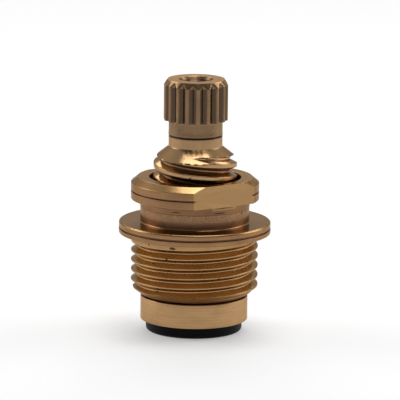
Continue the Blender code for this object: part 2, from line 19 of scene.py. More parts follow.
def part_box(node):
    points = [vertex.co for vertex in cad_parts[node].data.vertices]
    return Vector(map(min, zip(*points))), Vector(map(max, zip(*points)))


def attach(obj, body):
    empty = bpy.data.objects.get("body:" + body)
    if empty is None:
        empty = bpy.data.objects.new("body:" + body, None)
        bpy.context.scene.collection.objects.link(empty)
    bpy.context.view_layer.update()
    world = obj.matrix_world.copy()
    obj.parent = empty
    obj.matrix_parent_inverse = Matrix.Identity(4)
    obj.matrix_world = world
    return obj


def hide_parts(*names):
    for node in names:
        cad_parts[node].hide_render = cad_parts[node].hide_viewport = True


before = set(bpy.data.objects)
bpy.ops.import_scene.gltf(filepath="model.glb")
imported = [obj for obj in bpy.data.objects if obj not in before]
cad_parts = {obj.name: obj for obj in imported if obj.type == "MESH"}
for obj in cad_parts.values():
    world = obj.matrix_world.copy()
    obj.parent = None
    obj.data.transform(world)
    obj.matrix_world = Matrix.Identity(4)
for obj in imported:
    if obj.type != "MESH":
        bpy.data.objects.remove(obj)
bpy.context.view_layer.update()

LOG = logging.getLogger("faucet_stem")
MM = 0.001
INCH = 25.4
TURN = 2 * math.pi
FRONT = -math.pi / 2
WELD = 0.0005  # points closer than this become one
SNAP = 1 / 60  # share of the pitch within which a thread's row joins its end ring
SIDE_SHARE = 0.48  # most of a side that a fillet may take up
FLAT_AZIMUTH = math.radians(33)  # the wrench flat in front, from the front
FLAT_DISTANCE = 8.64  # of both wrench flats from the axis
BREAK = 0.05  # radius of a broken edge
SOFT = 0.1  # radius of a softened corner
FACE_LINES = 0.83  # share of the radius that lathe lines follow, so that level faces have them
FINE_DRIFT = 0.02  # how soon fine lathe lines change across the piece
BROAD_DRIFT = 0.05  # the same of broad ones
BROAD_SHARE = 0.22  # broad lathe lines to a fine one

Corner = tuple[float, float, float]
Place = tuple[float, float, float]
Colour = tuple[float, float, float]
Pair = tuple[float, float]
Shape = Callable[[np.ndarray, np.ndarray, np.ndarray], np.ndarray]


class Hand(Enum):
    """Which way a thread climbs."""

    RIGHT = 1
    LEFT = -1


class Finish(Enum):
    """Names of the finishes, which are also the names of their materials."""

    BONNET = "bonnet_brass"
    SPINDLE = "spindle_brass"
    HOLDER = "holder_brass"
    SCREW = "screw_brass"
    THRUST = "thrust_bronze"
    RING = "ring_steel"
    WASHER = "washer_rubber"
    SEAL = "seal_rubber"


def heights(node: str) -> tuple[float, float]:
    """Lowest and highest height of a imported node.

    Args:
        node: The node's name.

    Returns:
        Its base and top in millimetres.
    """
    low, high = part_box(node)
    return low[2] / MM, high[2] / MM


def unit(vector: np.ndarray) -> np.ndarray:
    """A vector divided by its own length."""
    return vector / np.linalg.norm(vector)


def even_angles(count: int) -> np.ndarray:
    """This many even angles round the axis."""
    return np.linspace(0, TURN, count, endpoint=False)


def turned_line(radius: float, height: float, form: tuple[Corner, ...]) -> list[Corner]:
    """The corners of a fine line in a wall, from its form: depth, rise and fillet of each."""
    return [(radius - depth, height + rise, fillet) for depth, rise, fillet in form]


def rounded(corners: list[Corner], step: float = 0.4, arc_points: int = 6) -> np.ndarray:
    """A profile whose corners are arcs that touch both sides.

    The arc's centre lies on the corner's bisector, at radius / sin(half the corner's angle).
    Straight runs are divided evenly into pieces no longer than step.

    Args:
        corners: Radius, height and fillet radius of each corner, in order.
        step: Longest piece of a straight run.
        arc_points: Points on each arc.

    Returns:
        Points of the profile, one row of radius and height each.
    """
    points = [np.array(corners[0][:2])]
    for before, corner, after in zip(corners, corners[1:], corners[2:]):
        here = np.array(corner[:2])
        back = np.array(before[:2]) - here
        ahead = np.array(after[:2]) - here
        if corner[2] == 0:
            points.append(here)
            continue
        a, b = unit(back), unit(ahead)
        half = 0.5 * math.acos(float(np.clip(a @ b, -1, 1)))
        reach = corner[2] / math.tan(half)
        limit = SIDE_SHARE * min(np.linalg.norm(back), np.linalg.norm(ahead))
        radius = corner[2] * min(1.0, limit / reach)
        reach = min(reach, limit)
        centre = here + unit(a + b) * radius / math.sin(half)
        start, end = here + a * reach - centre, here + b * reach - centre
        sweep = math.atan2(start[0] * end[1] - start[1] * end[0], float(start @ end))
        turn = np.linspace(0, sweep, arc_points)
        arc_r = start[0] * np.cos(turn) - start[1] * np.sin(turn)
        arc_z = start[0] * np.sin(turn) + start[1] * np.cos(turn)
        points.extend(centre + np.stack([arc_r, arc_z], axis=1))
    points.append(np.array(corners[-1][:2]))
    filled = [points[0][None]]
    for p, q in zip(points, points[1:]):
        count = max(1, math.ceil(np.linalg.norm(q - p) / step))
        share = np.linspace(0, 1, count + 1)[1:, None]
        filled.append(p + (q - p) * share)
    return np.concatenate(filled)


@dataclass(frozen=True)
class ThreadForm:
    """A screw thread's form: a ridge with flat crest, straight flanks and filleted corners.

    Its groove gets shallower over the run-out's length and ends at the run-out's height.
    """

    pitch: float
    starts: int
    hand: Hand
    crest_radius: float
    root_radius: float
    crest_width: float
    flank_width: float
    crest_fillet: float
    root_fillet: float
    front_crest: float
    runout: float = math.inf
    runout_length: float = 1.0
    arc_points: int = 4
    pieces: int = 9

    def one_pitch(self) -> np.ndarray:
        """The form's outline from one crest's middle up to the next.

        Returns:
            Rows of radius and height above the first crest.
        """
        crest = self.crest_width / 2
        root = crest + self.flank_width
        high, low = self.crest_radius, self.root_radius
        corners = [
            (high, 0.0, 0.0),
            (high, crest, self.crest_fillet),
            (low, root, self.root_fillet),
            (low, self.pitch - root, self.root_fillet),
            (high, self.pitch - crest, self.crest_fillet),
            (high, self.pitch, 0.0),
        ]
        return rounded(corners, step=self.pitch / self.pieces, arc_points=self.arc_points)[:-1]


class Skin:
    """Grids of points round the axis that are welded into one closed surface."""

    def __init__(self, angles: np.ndarray) -> None:
        """Starts an empty skin whose rings have a point at each of these angles.

        Args:
            angles: Rising angles from 0 up to a full turn.
        """
        self.angles = angles
        self.points: list[np.ndarray] = []
        self.faces: list[np.ndarray] = []
        self.count = 0

    def _add(self, radius: np.ndarray, height: np.ndarray, faces: np.ndarray) -> None:
        """Keeps one grid: x and y are the radius times the cosine and sine of the angle.

        Args:
            radius: Radius of every grid point.
            height: Its height.
            faces: Rows of four point numbers, counted from the grid's first point.
        """
        x = radius * np.cos(self.angles)
        y = radius * np.sin(self.angles)
        self.points.append(np.stack([x, y, height], axis=-1).reshape(-1, 3) * MM)
        self.faces.append(faces + self.count)
        self.count += radius.size

    def turn(self, profile: np.ndarray, shape: Shape | None = None) -> "Skin":
        """Carries a profile round the axis.

        Args:
            profile: Rows of radius and height.
            shape: Gives the radius from the radius, height and angle of every grid point.

        Returns:
            The skin itself.
        """
        radius = np.repeat(profile[:, :1], self.angles.size, axis=1)
        height = np.repeat(profile[:, 1:], self.angles.size, axis=1)
        if shape is not None:
            radius = shape(radius, height, self.angles[None])
        index = np.arange(radius.size).reshape(radius.shape)
        ahead = np.roll(index, -1, axis=1)
        quads = np.stack([index[:-1], ahead[:-1], ahead[1:], index[1:]], axis=-1)
        self._add(radius, height, quads.reshape(-1, 4))
        return self

    def thread(self, form: ThreadForm, low: float, high: float, limit: Shape) -> "Skin":
        """Carries a thread's form along its helix, between two level rings.

        A row follows one line of the form round the axis: its height is the crest's height at
        the front, plus the line's share of the pitch, plus the lead times the angle over a turn.
        After a full turn a row runs on into the row that lies a lead further. Points past low
        or high are brought to that height, where they meet and are welded. In the run-out the
        groove's depth is multiplied by the sine of a quarter turn times the share that is left.

        Args:
            form: The thread.
            low: Height of the lower ring.
            high: Height of the upper ring.
            limit: Gives the radius from the thread's radius, the height and the angle.

        Returns:
            The skin itself.
        """
        form_points = form.one_pitch()
        rows = len(form_points)
        shift = form.hand.value * form.starts * rows
        first = math.floor((low - form.front_crest) / form.pitch) - 2 * form.starts
        last = math.ceil((high - form.front_crest) / form.pitch) + 2 * form.starts
        row = np.arange(first * rows, last * rows)
        radius, share = form_points[row % rows, 0], form_points[row % rows, 1]
        lead = form.pitch * form.starts
        climb = form.hand.value * lead * (self.angles - FRONT) / TURN
        middle = (form.front_crest + form.pitch * (row // rows))[:, None] + climb
        height = middle + share[:, None]
        left = np.clip((form.runout - middle - form.pitch / 2) / form.runout_length, 0, 1)
        cut = (form.crest_radius - radius)[:, None] * np.sin(left * math.pi / 2)
        radius = form.crest_radius - cut
        snap = form.pitch * SNAP
        height = np.where(height < low + snap, low, np.where(height > high - snap, high, height))
        radius = limit(radius, height, self.angles[None])
        index = np.arange(radius.size).reshape(radius.shape)
        ahead = np.roll(index, -1, axis=1)
        ahead[:, -1] = np.arange(len(row)) + shift
        inside = (ahead[:, -1] >= 0) & (ahead[:, -1] < len(row))
        ahead[:, -1] = np.where(inside, index[np.clip(ahead[:, -1], 0, len(row) - 1), 0], -1)
        quads = np.stack([index[:-1], ahead[:-1], ahead[1:], index[1:]], axis=-1)
        quads = quads.reshape(-1, 4)
        quads = quads[(quads >= 0).all(axis=1)]
        level = height.reshape(-1)[quads]
        real = ~((level == low).all(axis=1) | (level == high).all(axis=1))
        self._add(radius, height, quads[real])
        return self

    def tube(self, middle: float, height: float, half: tuple[float, float], corners: int,
             split: float = 0.0) -> "Skin":
        """A ring of oval section; split leaves an opening of that angle at the back.

        The radius is the middle plus the half width times the cosine of the angle round the
        section, and the height is its middle plus the half height times the sine. A split
        ring's two ends are drawn together to a point.

        Args:
            middle: Radius of the section's middle.
            height: Height of the section's middle.
            half: Half width and half height of the section.
            corners: Points round the section.
            split: Angle of the opening.

        Returns:
            The skin itself.
        """
        around = even_angles(corners)
        if split == 0:
            section = np.stack([middle + half[0] * np.cos(around),
                                height + half[1] * np.sin(around)], axis=1)
            return self.turn(np.concatenate([section, section[:1]]))
        count = self.angles.size
        angle = -FRONT + split / 2 + (TURN - split) * np.linspace(0, 1, count)[:, None]
        taper = np.concatenate([[0.0], np.ones(count - 2), [0.0]])[:, None]
        r = middle + taper * half[0] * np.cos(around)
        z = height + taper * half[1] * np.sin(around)
        points = np.stack([r * np.cos(angle), r * np.sin(angle), z], axis=-1)
        index = np.arange(count * corners).reshape(count, corners)
        ahead = np.roll(index, -1, axis=1)
        quads = np.stack([index[:-1], ahead[:-1], ahead[1:], index[1:]], axis=-1)
        self.points.append(points.reshape(-1, 3) * MM)
        self.faces.append(quads.reshape(-1, 4) + self.count)
        self.count += count * corners
        return self

    def build(self, name: str, sharp: float = 38.0) -> bpy.types.Object:
        """Welds the grids, turns the faces out and makes the object.

        Args:
            name: The object's name.
            sharp: Angle in degrees past which an edge stays sharp.

        Returns:
            The new object, at the origin.
        """
        used, corners = np.unique(np.concatenate(self.faces), return_inverse=True)
        points = np.concatenate(self.points)[used]
        mesh = bpy.data.meshes.new(name)
        mesh.from_pydata(points.tolist(), [], corners.reshape(-1, 4).tolist())
        bm = bmesh.new()
        bm.from_mesh(mesh)
        bmesh.ops.remove_doubles(bm, verts=bm.verts, dist=WELD * MM)
        bmesh.ops.dissolve_degenerate(bm, dist=WELD * MM, edges=bm.edges)
        bmesh.ops.recalc_face_normals(bm, faces=bm.faces)
        bm.to_mesh(mesh)
        bm.free()
        mesh.shade_smooth()
        mesh.set_sharp_from_angle(angle=math.radians(sharp))
        obj = bpy.data.objects.new(name, mesh)
        bpy.context.scene.collection.objects.link(obj)
        return obj


def carve(obj: bpy.types.Object, size: Place, place: Place, angle: float,
          sharp: float = 25.0) -> None:
    """Cuts a box out of a piece for good.

    Args:
        obj: The piece.
        size: The box's length, width and height in millimetres.
        place: The box's middle in millimetres.
        angle: How far the box is turned round the axis.
        sharp: Angle in degrees past which an edge stays sharp.
    """
    mesh = bpy.data.meshes.new("cut")
    bm = bmesh.new()
    bmesh.ops.create_cube(bm, size=1.0)
    bmesh.ops.scale(bm, vec=Vector(size) * MM, verts=bm.verts)
    move = Matrix.Translation(Vector(place) * MM) @ Matrix.Rotation(angle, 4, "Z")
    bmesh.ops.transform(bm, matrix=move, verts=bm.verts)
    bm.to_mesh(mesh)
    bm.free()
    tool = bpy.data.objects.new("cut", mesh)
    bpy.context.scene.collection.objects.link(tool)
    step = obj.modifiers.new("cut", "BOOLEAN")
    step.operation = "DIFFERENCE"
    step.solver = "EXACT"
    step.object = tool
    ready = obj.evaluated_get(bpy.context.evaluated_depsgraph_get())
    obj.data = bpy.data.meshes.new_from_object(ready)
    obj.modifiers.clear()
    bpy.data.objects.remove(tool)
    obj.data.shade_smooth()
    obj.data.set_sharp_from_angle(angle=math.radians(sharp))


class Value:
    """A shader socket that takes part in sums: each operator adds a Math node."""

    def __init__(self, graph: "Graph", socket: bpy.types.NodeSocket) -> None:
        """Wraps one output socket of a graph's node."""
        self.graph = graph
        self.socket = socket

    def __add__(self, other: "Value | float") -> "Value":
        """Sum."""
        return self.graph.math("ADD", self, other)

    __radd__ = __add__

    def __mul__(self, other: "Value | float") -> "Value":
        """Product."""
        return self.graph.math("MULTIPLY", self, other)

    __rmul__ = __mul__

    def __sub__(self, other: "Value | float") -> "Value":
        """Difference."""
        return self.graph.math("SUBTRACT", self, other)

    def __rsub__(self, other: float) -> "Value":
        """Difference from a number."""
        return self.graph.math("SUBTRACT", other, self)

    def __truediv__(self, other: "Value | float") -> "Value":
        """Quotient."""
        return self.graph.math("DIVIDE", self, other)

    def __rtruediv__(self, other: float) -> "Value":
        """A number divided by the value."""
        return self.graph.math("DIVIDE", other, self)

    def __abs__(self) -> "Value":
        """The value without its sign."""
        return self.graph.math("ABSOLUTE", self)

    def root(self) -> "Value":
        """Square root."""
        return self.graph.math("SQRT", self)

    def clipped(self) -> "Value":
        """The value, kept from 0 to 1."""
        return self.graph.math("MINIMUM", self.graph.math("MAXIMUM", self, 0.0), 1.0)

    def between(self, low: float, high: float) -> "Value":
        """How far the value lies from low to high, eased at both ends.

        Args:
            low: Where the share is 0.
            high: Where it is 1.

        Returns:
            The share, from 0 to 1.
        """
        node = self.graph.add("ShaderNodeMapRange", {"interpolation_type": "SMOOTHSTEP"},
                              {"Value": self, "From Min": low, "From Max": high})
        return Value(self.graph, node.outputs["Result"])


class Graph:
    """A node tree, of a material or of the world."""

    def __init__(self, tree: bpy.types.NodeTree) -> None:
        """Takes the tree."""
        self.tree = tree

    def add(self, kind: str, settings: dict | None = None, inputs: dict | None = None) -> bpy.types.Node:
        """Adds a node.

        Args:
            kind: The node's type.
            settings: Its properties, which are set first.
            inputs: Values or links of its sockets, by name or number.

        Returns:
            The node.
        """
        node = self.tree.nodes.new(kind)
        for key, value in (settings or {}).items():
            setattr(node, key, value)
        for key, value in (inputs or {}).items():
            self.feed(node.inputs[key], value)
        return node

    def feed(self, socket: bpy.types.NodeSocket, value: object) -> None:
        """Links or sets one input socket.

        Args:
            socket: The input socket.
            value: A value or an output socket to link, or what the input is set to.
        """
        if isinstance(value, Value):
            value = value.socket
        if isinstance(value, bpy.types.NodeSocket):
            self.tree.links.new(value, socket)
        else:
            socket.default_value = value

    def math(self, operation: str, *terms: Value | float) -> Value:
        """A Math node's result.

        Args:
            operation: Its operation.
            terms: Its inputs, in order.

        Returns:
            Its output.
        """
        node = self.add("ShaderNodeMath", {"operation": operation}, dict(enumerate(terms)))
        return Value(self, node.outputs[0])

    def split(self, vector: bpy.types.NodeSocket) -> list[Value]:
        """The x, y and z of a vector."""
        node = self.add("ShaderNodeSeparateXYZ", inputs={"Vector": vector})
        return [Value(self, socket) for socket in node.outputs]


@dataclass(frozen=True)
class Lumps:
    """A kind of noise: lumps to the millimetre, octaves, share of the finer ones and a seed."""

    scale: float
    octaves: float
    rough: float
    seed: float = 0.0
    seed_way: Place = (1.0, 1.7, 0.6)

    def offset(self, seed: float) -> Place:
        """How far the pattern is moved by its own seed and the finish's."""
        return tuple((seed + self.seed) * share for share in self.seed_way)


class Palette(Graph):
    """One material's node tree, with its shader and the place of a point on the piece."""

    def __init__(self, name: str) -> None:
        """Starts a material with a Principled shader.

        Args:
            name: The material's name.
        """
        self.material = bpy.data.materials.new(name)
        self.material.use_nodes = True
        super().__init__(self.material.node_tree)
        self.shader = self.tree.nodes["Principled BSDF"]
        place = self.add("ShaderNodeTexCoord").outputs["Object"]
        scaled = self.add("ShaderNodeVectorMath", {"operation": "SCALE"}, {0: place, "Scale": 1 / MM})
        self.point = scaled.outputs[0]
        self.x, self.y, self.z = self.split(self.point)
        self.radius = (self.x * self.x + self.y * self.y).root()

    def towards(self, angle: float) -> Value:
        """How far a point lies from the axis in the direction of an angle round it."""
        return self.x * math.cos(angle) + self.y * math.sin(angle)

    def level(self, low: float, high: float, soft: float) -> Value:
        """Whether a point lies between two heights, from 0 to 1, eased over soft on both sides."""
        above = self.z.between(low - soft, low + soft)
        return above * (1 - self.z.between(high - soft, high + soft))

    def vector(self, x: Value | float, y: Value | float, z: Value | float) -> bpy.types.NodeSocket:
        """A vector from three values."""
        return self.add("ShaderNodeCombineXYZ", inputs={0: x, 1: y, 2: z}).outputs[0]

    def noise(self, lumps: Lumps, seed: float = 0.0, at: bpy.types.NodeSocket | None = None) -> Value:
        """Noise from 0 to 1.

        Args:
            lumps: Its kind.
            seed: The finish's seed.
            at: Where it is read, the point on the piece by default.

        Returns:
            The noise.
        """
        moved = self.add("ShaderNodeVectorMath", {"operation": "ADD"},
                         {0: at or self.point, 1: lumps.offset(seed)})
        node = self.add("ShaderNodeTexNoise", inputs={
            "Vector": moved.outputs[0], "Scale": lumps.scale, "Detail": lumps.octaves,
            "Roughness": lumps.rough})
        return Value(self, node.outputs["Fac"])

    def mix(self, share: Value | float, a: object, b: object) -> bpy.types.NodeSocket:
        """A colour between two colours, each given as three numbers or a socket.

        Args:
            share: How much of the second one.
            a: The first one.
            b: The second one.

        Returns:
            The mixed colour.
        """
        first, second = ((*c, 1.0) if isinstance(c, tuple) else c for c in (a, b))
        node = self.add("ShaderNodeMix", {"data_type": "RGBA"}, {0: share, 6: first, 7: second})
        return node.outputs[2]

    def bump(self, height: Value) -> bpy.types.NodeSocket:
        """A normal bent by a height in millimetres."""
        node = self.add("ShaderNodeBump", inputs={"Height": height, "Strength": 1.0, "Distance": MM})
        return node.outputs["Normal"]

    def finished(self, inputs: dict[str, object]) -> bpy.types.Material:
        """Feeds the shader.

        Args:
            inputs: What its sockets get, by name.

        Returns:
            The material.
        """
        for name, value in inputs.items():
            self.feed(self.shader.inputs[name], value)
        return self.material


@dataclass(frozen=True)
class Band:
    """A stretch of the axis with its own share of film, specks and roughness; some bands paint shade
    into the film, and some paint light.
    """

    low: float
    high: float
    soft: float
    film: float
    specks: float = 0.0
    rough: float = 0.0

    def mask(self, p: Palette) -> Value:
        """How far a point lies inside the band, from 0 to 1."""
        return p.level(self.low, self.high, self.soft)


@dataclass(frozen=True)
class Groove:
    """Film, and painted shade, that lies deeper the closer a surface is to the roots of a thread or of
    teeth.
    """

    root: float
    crest: float
    low: float
    high: float
    film: float
    soft: float = 0.1

    def within(self, p: Palette) -> Value:
        """Whether a point lies between the thread's or the teeth's ends."""
        return p.level(self.low, self.high, self.soft)

    def mask(self, p: Palette) -> Value:
        """How deep a point lies in the grooves, from 0 to 1."""
        return (1 - p.radius.between(self.root, self.crest)) * self.within(p)


@dataclass(frozen=True)
class Spot:
    """A dark pit: its angle from the front in degrees, height, half width and half height."""

    angle: float
    height: float
    half_width: float
    half_height: float
    ragged: float = 1.6
    edge: Pair = (0.75, 1.15)

    def mask(self, p: Palette, noise: Value) -> Value:
        """How dark the pit is at a point: 1 inside an oval whose edge the noise bends.

        Args:
            p: The palette.
            noise: Bends the edge.

        Returns:
            The share, from 0 to 1.
        """
        angle = FRONT + math.radians(self.angle)
        across = p.towards(angle + math.pi / 2) / self.half_width
        up = (p.z - self.height) / self.half_height
        reach = (across * across + up * up).root() + self.ragged * (noise - 0.5)
        return (1 - reach.between(*self.edge)) * p.towards(angle).between(0.0, 1.0)


@dataclass(frozen=True)
class Flats:
    """The look of milled wrench flats above a height: strokes on a slant and little film."""

    low: float
    azimuth: float = FLAT_AZIMUTH
    distance: float = FLAT_DISTANCE
    film: float = 0.30
    rough: float = 0.04
    edge: Pair = (0.03, 0.01)
    low_edge: float = 0.02
    strokes: Lumps = Lumps(1.0, 3.0, 0.6, 23.0)
    slant: Pair = (2.2, 0.45)
    along: float = 0.35
    across: float = 7.0

    def mask(self, p: Palette) -> Value:
        """Where the flats are: at their distance from the axis, along their normal.

        Args:
            p: The palette.

        Returns:
            The share, 1 on a flat and 0 beside it.
        """
        outer, inner = self.edge
        reach = abs(p.towards(FRONT + self.azimuth))
        flat = reach.between(self.distance - outer, self.distance - inner)
        return flat * p.z.between(self.low, self.low + self.low_edge)

    def lines(self, p: Palette, seed: float) -> Value:
        """The mill's strokes: noise drawn out on a slant over the flat.

        Args:
            p: The palette.
            seed: The finish's seed.

        Returns:
            The noise.
        """
        side = p.towards(FRONT + self.azimuth + math.pi / 2)
        drawn = (side + p.z * self.slant[0]) * self.along
        packed = (p.z - side * self.slant[1]) * self.across
        return p.noise(self.strokes, seed, p.vector(drawn, packed, 0.0))


@dataclass(frozen=True)
class Wear:
    """How noise becomes the film, stains, specks and pits of old brass.

    Two numbers in brackets are the noise at which a mark begins and at which it is whole.
    """

    film: float = 0.12
    film_of_patches: float = 0.55
    film_of_mottle: float = 0.18
    rough_of_film: float = 0.10
    rough_of_lines: float = 0.08
    rough_of_mottle: float = 0.06
    fine_lines: float = 0.6
    calm: float = 0.9
    stain: float = 0.5
    stain_patches: Pair = (0.58, 0.75)
    stain_mottle: Pair = (0.50, 0.70)
    speck: float = 0.8
    speck_depth: float = 0.012
    speck_grains: Pair = (0.71, 0.80)
    speck_mottle: Pair = (0.52, 0.66)
    pale_dots: Pair = (0.50, 0.58)
    pale_patches: Pair = (0.40, 0.55)
    pit: float = 0.85
    pit_lumps: Pair = (0.775, 0.80)
    spot: float = 0.9


class Layers:
    """The noise of a brass finish: lathe lines, patches, mottle, grains and dots."""

    def __init__(self, p: Palette, pitch: float, seed: float) -> None:
        """Adds the noise. Lathe lines run along the height and a share of the radius.

        Args:
            p: The palette.
            pitch: Distance between the fine lathe lines.
            seed: The finish's seed.
        """
        along = p.z + p.radius * FACE_LINES
        fine = p.vector(p.x * FINE_DRIFT, p.y * FINE_DRIFT, along)
        broad = p.vector(p.x * BROAD_DRIFT, p.y * BROAD_DRIFT, along)
        self.fine = p.noise(Lumps(1.0 / pitch, 2.0, 0.6), seed, fine)
        self.broad = p.noise(Lumps(BROAD_SHARE / pitch, 1.0, 0.5, 3.0), seed, broad)
        self.patches = p.noise(Lumps(0.22, 3.0, 0.5, 7.0), seed)
        self.mottle = p.noise(Lumps(1.8, 4.0, 0.65, 11.0), seed)
        self.grains = p.noise(Lumps(6.0, 2.0, 0.7, 17.0), seed)
        self.dots = p.noise(Lumps(9.0, 1.0, 0.5, 19.0), seed)


@dataclass(frozen=True)
class Brass:
    """Old turned brass: lathe lines, a brown film with painted shade thickest in grooves, specks and
    pits.
    """

    clean: Colour
    film: Colour
    deep: Colour
    roughness: float
    lathe_pitch: float
    lathe_depth: float
    skin: float
    seed: float
    worn: Colour = (0.58, 0.36, 0.20)
    tint: Colour = (0.60, 0.50, 0.40)
    coat: float = 0.25
    coat_roughness: float = 0.15
    pits: float = 0.0
    pit_kind: Lumps = Lumps(0.9, 1.0, 0.5, 31.0)
    streaks: float = 0.22
    bands: tuple[Band, ...] = ()
    grooves: tuple[Groove, ...] = ()
    spots: tuple[Spot, ...] = ()
    flats: Flats | None = None
    wear: Wear = Wear()

    def film_and_painted_light_share(self, p: Palette, noise: Layers) -> Value:
        """How thick the film lies: a broad noise, with more or less in bands and grooves; the grooves
        and some bands also paint shade into it, and two bands paint light.

        Args:
            p: The palette.
            noise: Its noise.

        Returns:
            The share of film, from 0 to 1.
        """
        share = self.wear.film + self.wear.film_of_patches * (noise.patches - 0.5)
        for part in (*self.bands, *self.grooves):
            share = share + part.mask(p) * part.film
        return (share + self.wear.film_of_mottle * (noise.mottle - 0.5)).clipped()

    def rough_share(self, p: Palette, noise: Layers, film: Value) -> Value:
        """The roughness: more under film and in some bands, a little uneven.

        Args:
            p: The palette.
            noise: Its noise.
            film: The share of film.

        Returns:
            The roughness.
        """
        rough = self.roughness + self.wear.rough_of_film * film
        rough = rough + self.wear.rough_of_lines * (noise.broad - 0.5)
        rough = rough + self.wear.rough_of_mottle * (noise.mottle - 0.5)
        for band in self.bands:
            if band.rough:
                rough = rough + band.mask(p) * band.rough
        return rough

    def marked(self, p: Palette, noise: Layers, colour: bpy.types.NodeSocket, specks: Value,
               turned: Value | float) -> bpy.types.NodeSocket:
        """Lays stains, specks, pits, placed spots and pale specks over a colour.

        Args:
            p: The palette.
            noise: Its noise.
            colour: The colour under the marks.
            specks: Where the dark specks are.
            turned: Where the surface is turned and not milled, since pits are only there.

        Returns:
            The colour with the marks.
        """
        wear = self.wear
        stains = noise.patches.between(*wear.stain_patches) * noise.mottle.between(*wear.stain_mottle)
        colour = p.mix(stains * wear.stain, colour, self.deep)
        colour = p.mix(specks * wear.speck, colour, self.deep)
        if self.pits:
            low, high = wear.pit_lumps
            pits = p.noise(self.pit_kind, self.seed).between(low - self.pits, high - self.pits)
            colour = p.mix(pits * turned * wear.pit, colour, self.deep)
        for spot in self.spots:
            colour = p.mix(spot.mask(p, noise.mottle) * wear.spot, colour, self.deep)
        for band in self.bands:
            if band.specks:
                pale = noise.dots.between(*wear.pale_dots) * noise.patches.between(*wear.pale_patches)
                colour = p.mix(band.mask(p) * pale * band.specks, colour, self.worn)
        return colour

    def make(self, name: str) -> bpy.types.Material:
        """Builds the material.

        Args:
            name: Its name.

        Returns:
            The material.
        """
        p = Palette(name)
        wear = self.wear
        noise = Layers(p, self.lathe_pitch, self.seed)
        # the film's share also carries painted shade and painted light from the grooves and some bands
        film = self.film_and_painted_light_share(p, noise)
        rough = self.rough_share(p, noise, film)
        lines = noise.fine * wear.fine_lines + noise.broad * (1 - wear.fine_lines)
        turned = 1.0
        if self.flats is not None:
            milled = self.flats.mask(p)
            turned = 1 - milled
            strokes = self.flats.lines(p, self.seed)
            film = film * turned + milled * strokes * self.flats.film
            lines = lines * turned + milled * strokes
            rough = rough + self.flats.rough * milled
        calm = 1.0
        for groove in self.grooves:
            calm = calm * (1 - wear.calm * groove.within(p))
        film = (film + calm * self.streaks * (noise.fine - 0.5)).clipped()
        specks = noise.grains.between(*wear.speck_grains) * noise.mottle.between(*wear.speck_mottle)
        colour = self.marked(p, noise, p.mix(film, self.clean, self.film), specks, turned)
        height = lines * calm * self.lathe_depth + noise.mottle * self.skin - specks * wear.speck_depth
        return p.finished({
            "Base Color": colour, "Roughness": rough, "Metallic": 1.0, "Normal": p.bump(height),
            "Specular Tint": (*self.tint, 1.0), "Coat Weight": self.coat,
            "Coat Roughness": self.coat_roughness})


@dataclass(frozen=True)
class Rubber:
    """Moulded black rubber with a fine grain and a little dust."""

    colour: Colour
    dust: Colour
    roughness: float
    grain: float
    seed: float
    gloss: float = 0.1
    dust_share: float = 0.5
    dust_rough: float = 0.2
    dust_edge: Pair = (0.5, 0.75)
    grains: Lumps = Lumps(6.0, 3.0, 0.6)
    patches: Lumps = Lumps(1.1, 4.0, 0.65, 5.0)

    def make(self, name: str) -> bpy.types.Material:
        """Builds the material.

        Args:
            name: Its name.

        Returns:
            The material.
        """
        p = Palette(name)
        grain = p.noise(self.grains, self.seed)
        dust = p.noise(self.patches, self.seed)
        colour = p.mix(dust.between(*self.dust_edge) * self.dust_share, self.colour, self.dust)
        return p.finished({
            "Base Color": colour, "Roughness": self.roughness + self.dust_rough * (dust - 0.5),
            "Specular IOR Level": self.gloss, "Normal": p.bump(grain * self.grain)})


@dataclass(frozen=True)
class Steel:
    """Drawn spring wire with lines along it and a few brown stains."""

    colour: Colour
    roughness: float
    stain: Colour = (0.22, 0.17, 0.12)
    stain_share: float = 0.5
    stain_edge: Pair = (0.5, 0.7)
    line_scale: float = 3.0
    line_depth: float = 0.004
    line_rough: float = 0.2
    drawn: Lumps = Lumps(5.0, 2.0, 0.6)
    patches: Lumps = Lumps(0.8, 3.0, 0.6)

    def make(self, name: str) -> bpy.types.Material:
        """Builds the material.

        Args:
            name: Its name.

        Returns:
            The material.
        """
        p = Palette(name)
        at = p.vector(p.radius * self.line_scale, p.z * self.line_scale, 0.0)
        lines = p.noise(self.drawn, at=at)
        stains = p.noise(self.patches).between(*self.stain_edge)
        return p.finished({
            "Base Color": p.mix(stains * self.stain_share, self.colour, self.stain),
            "Roughness": self.roughness + self.line_rough * (lines - 0.5),
            "Metallic": 1.0, "Normal": p.bump(lines * self.line_depth)})


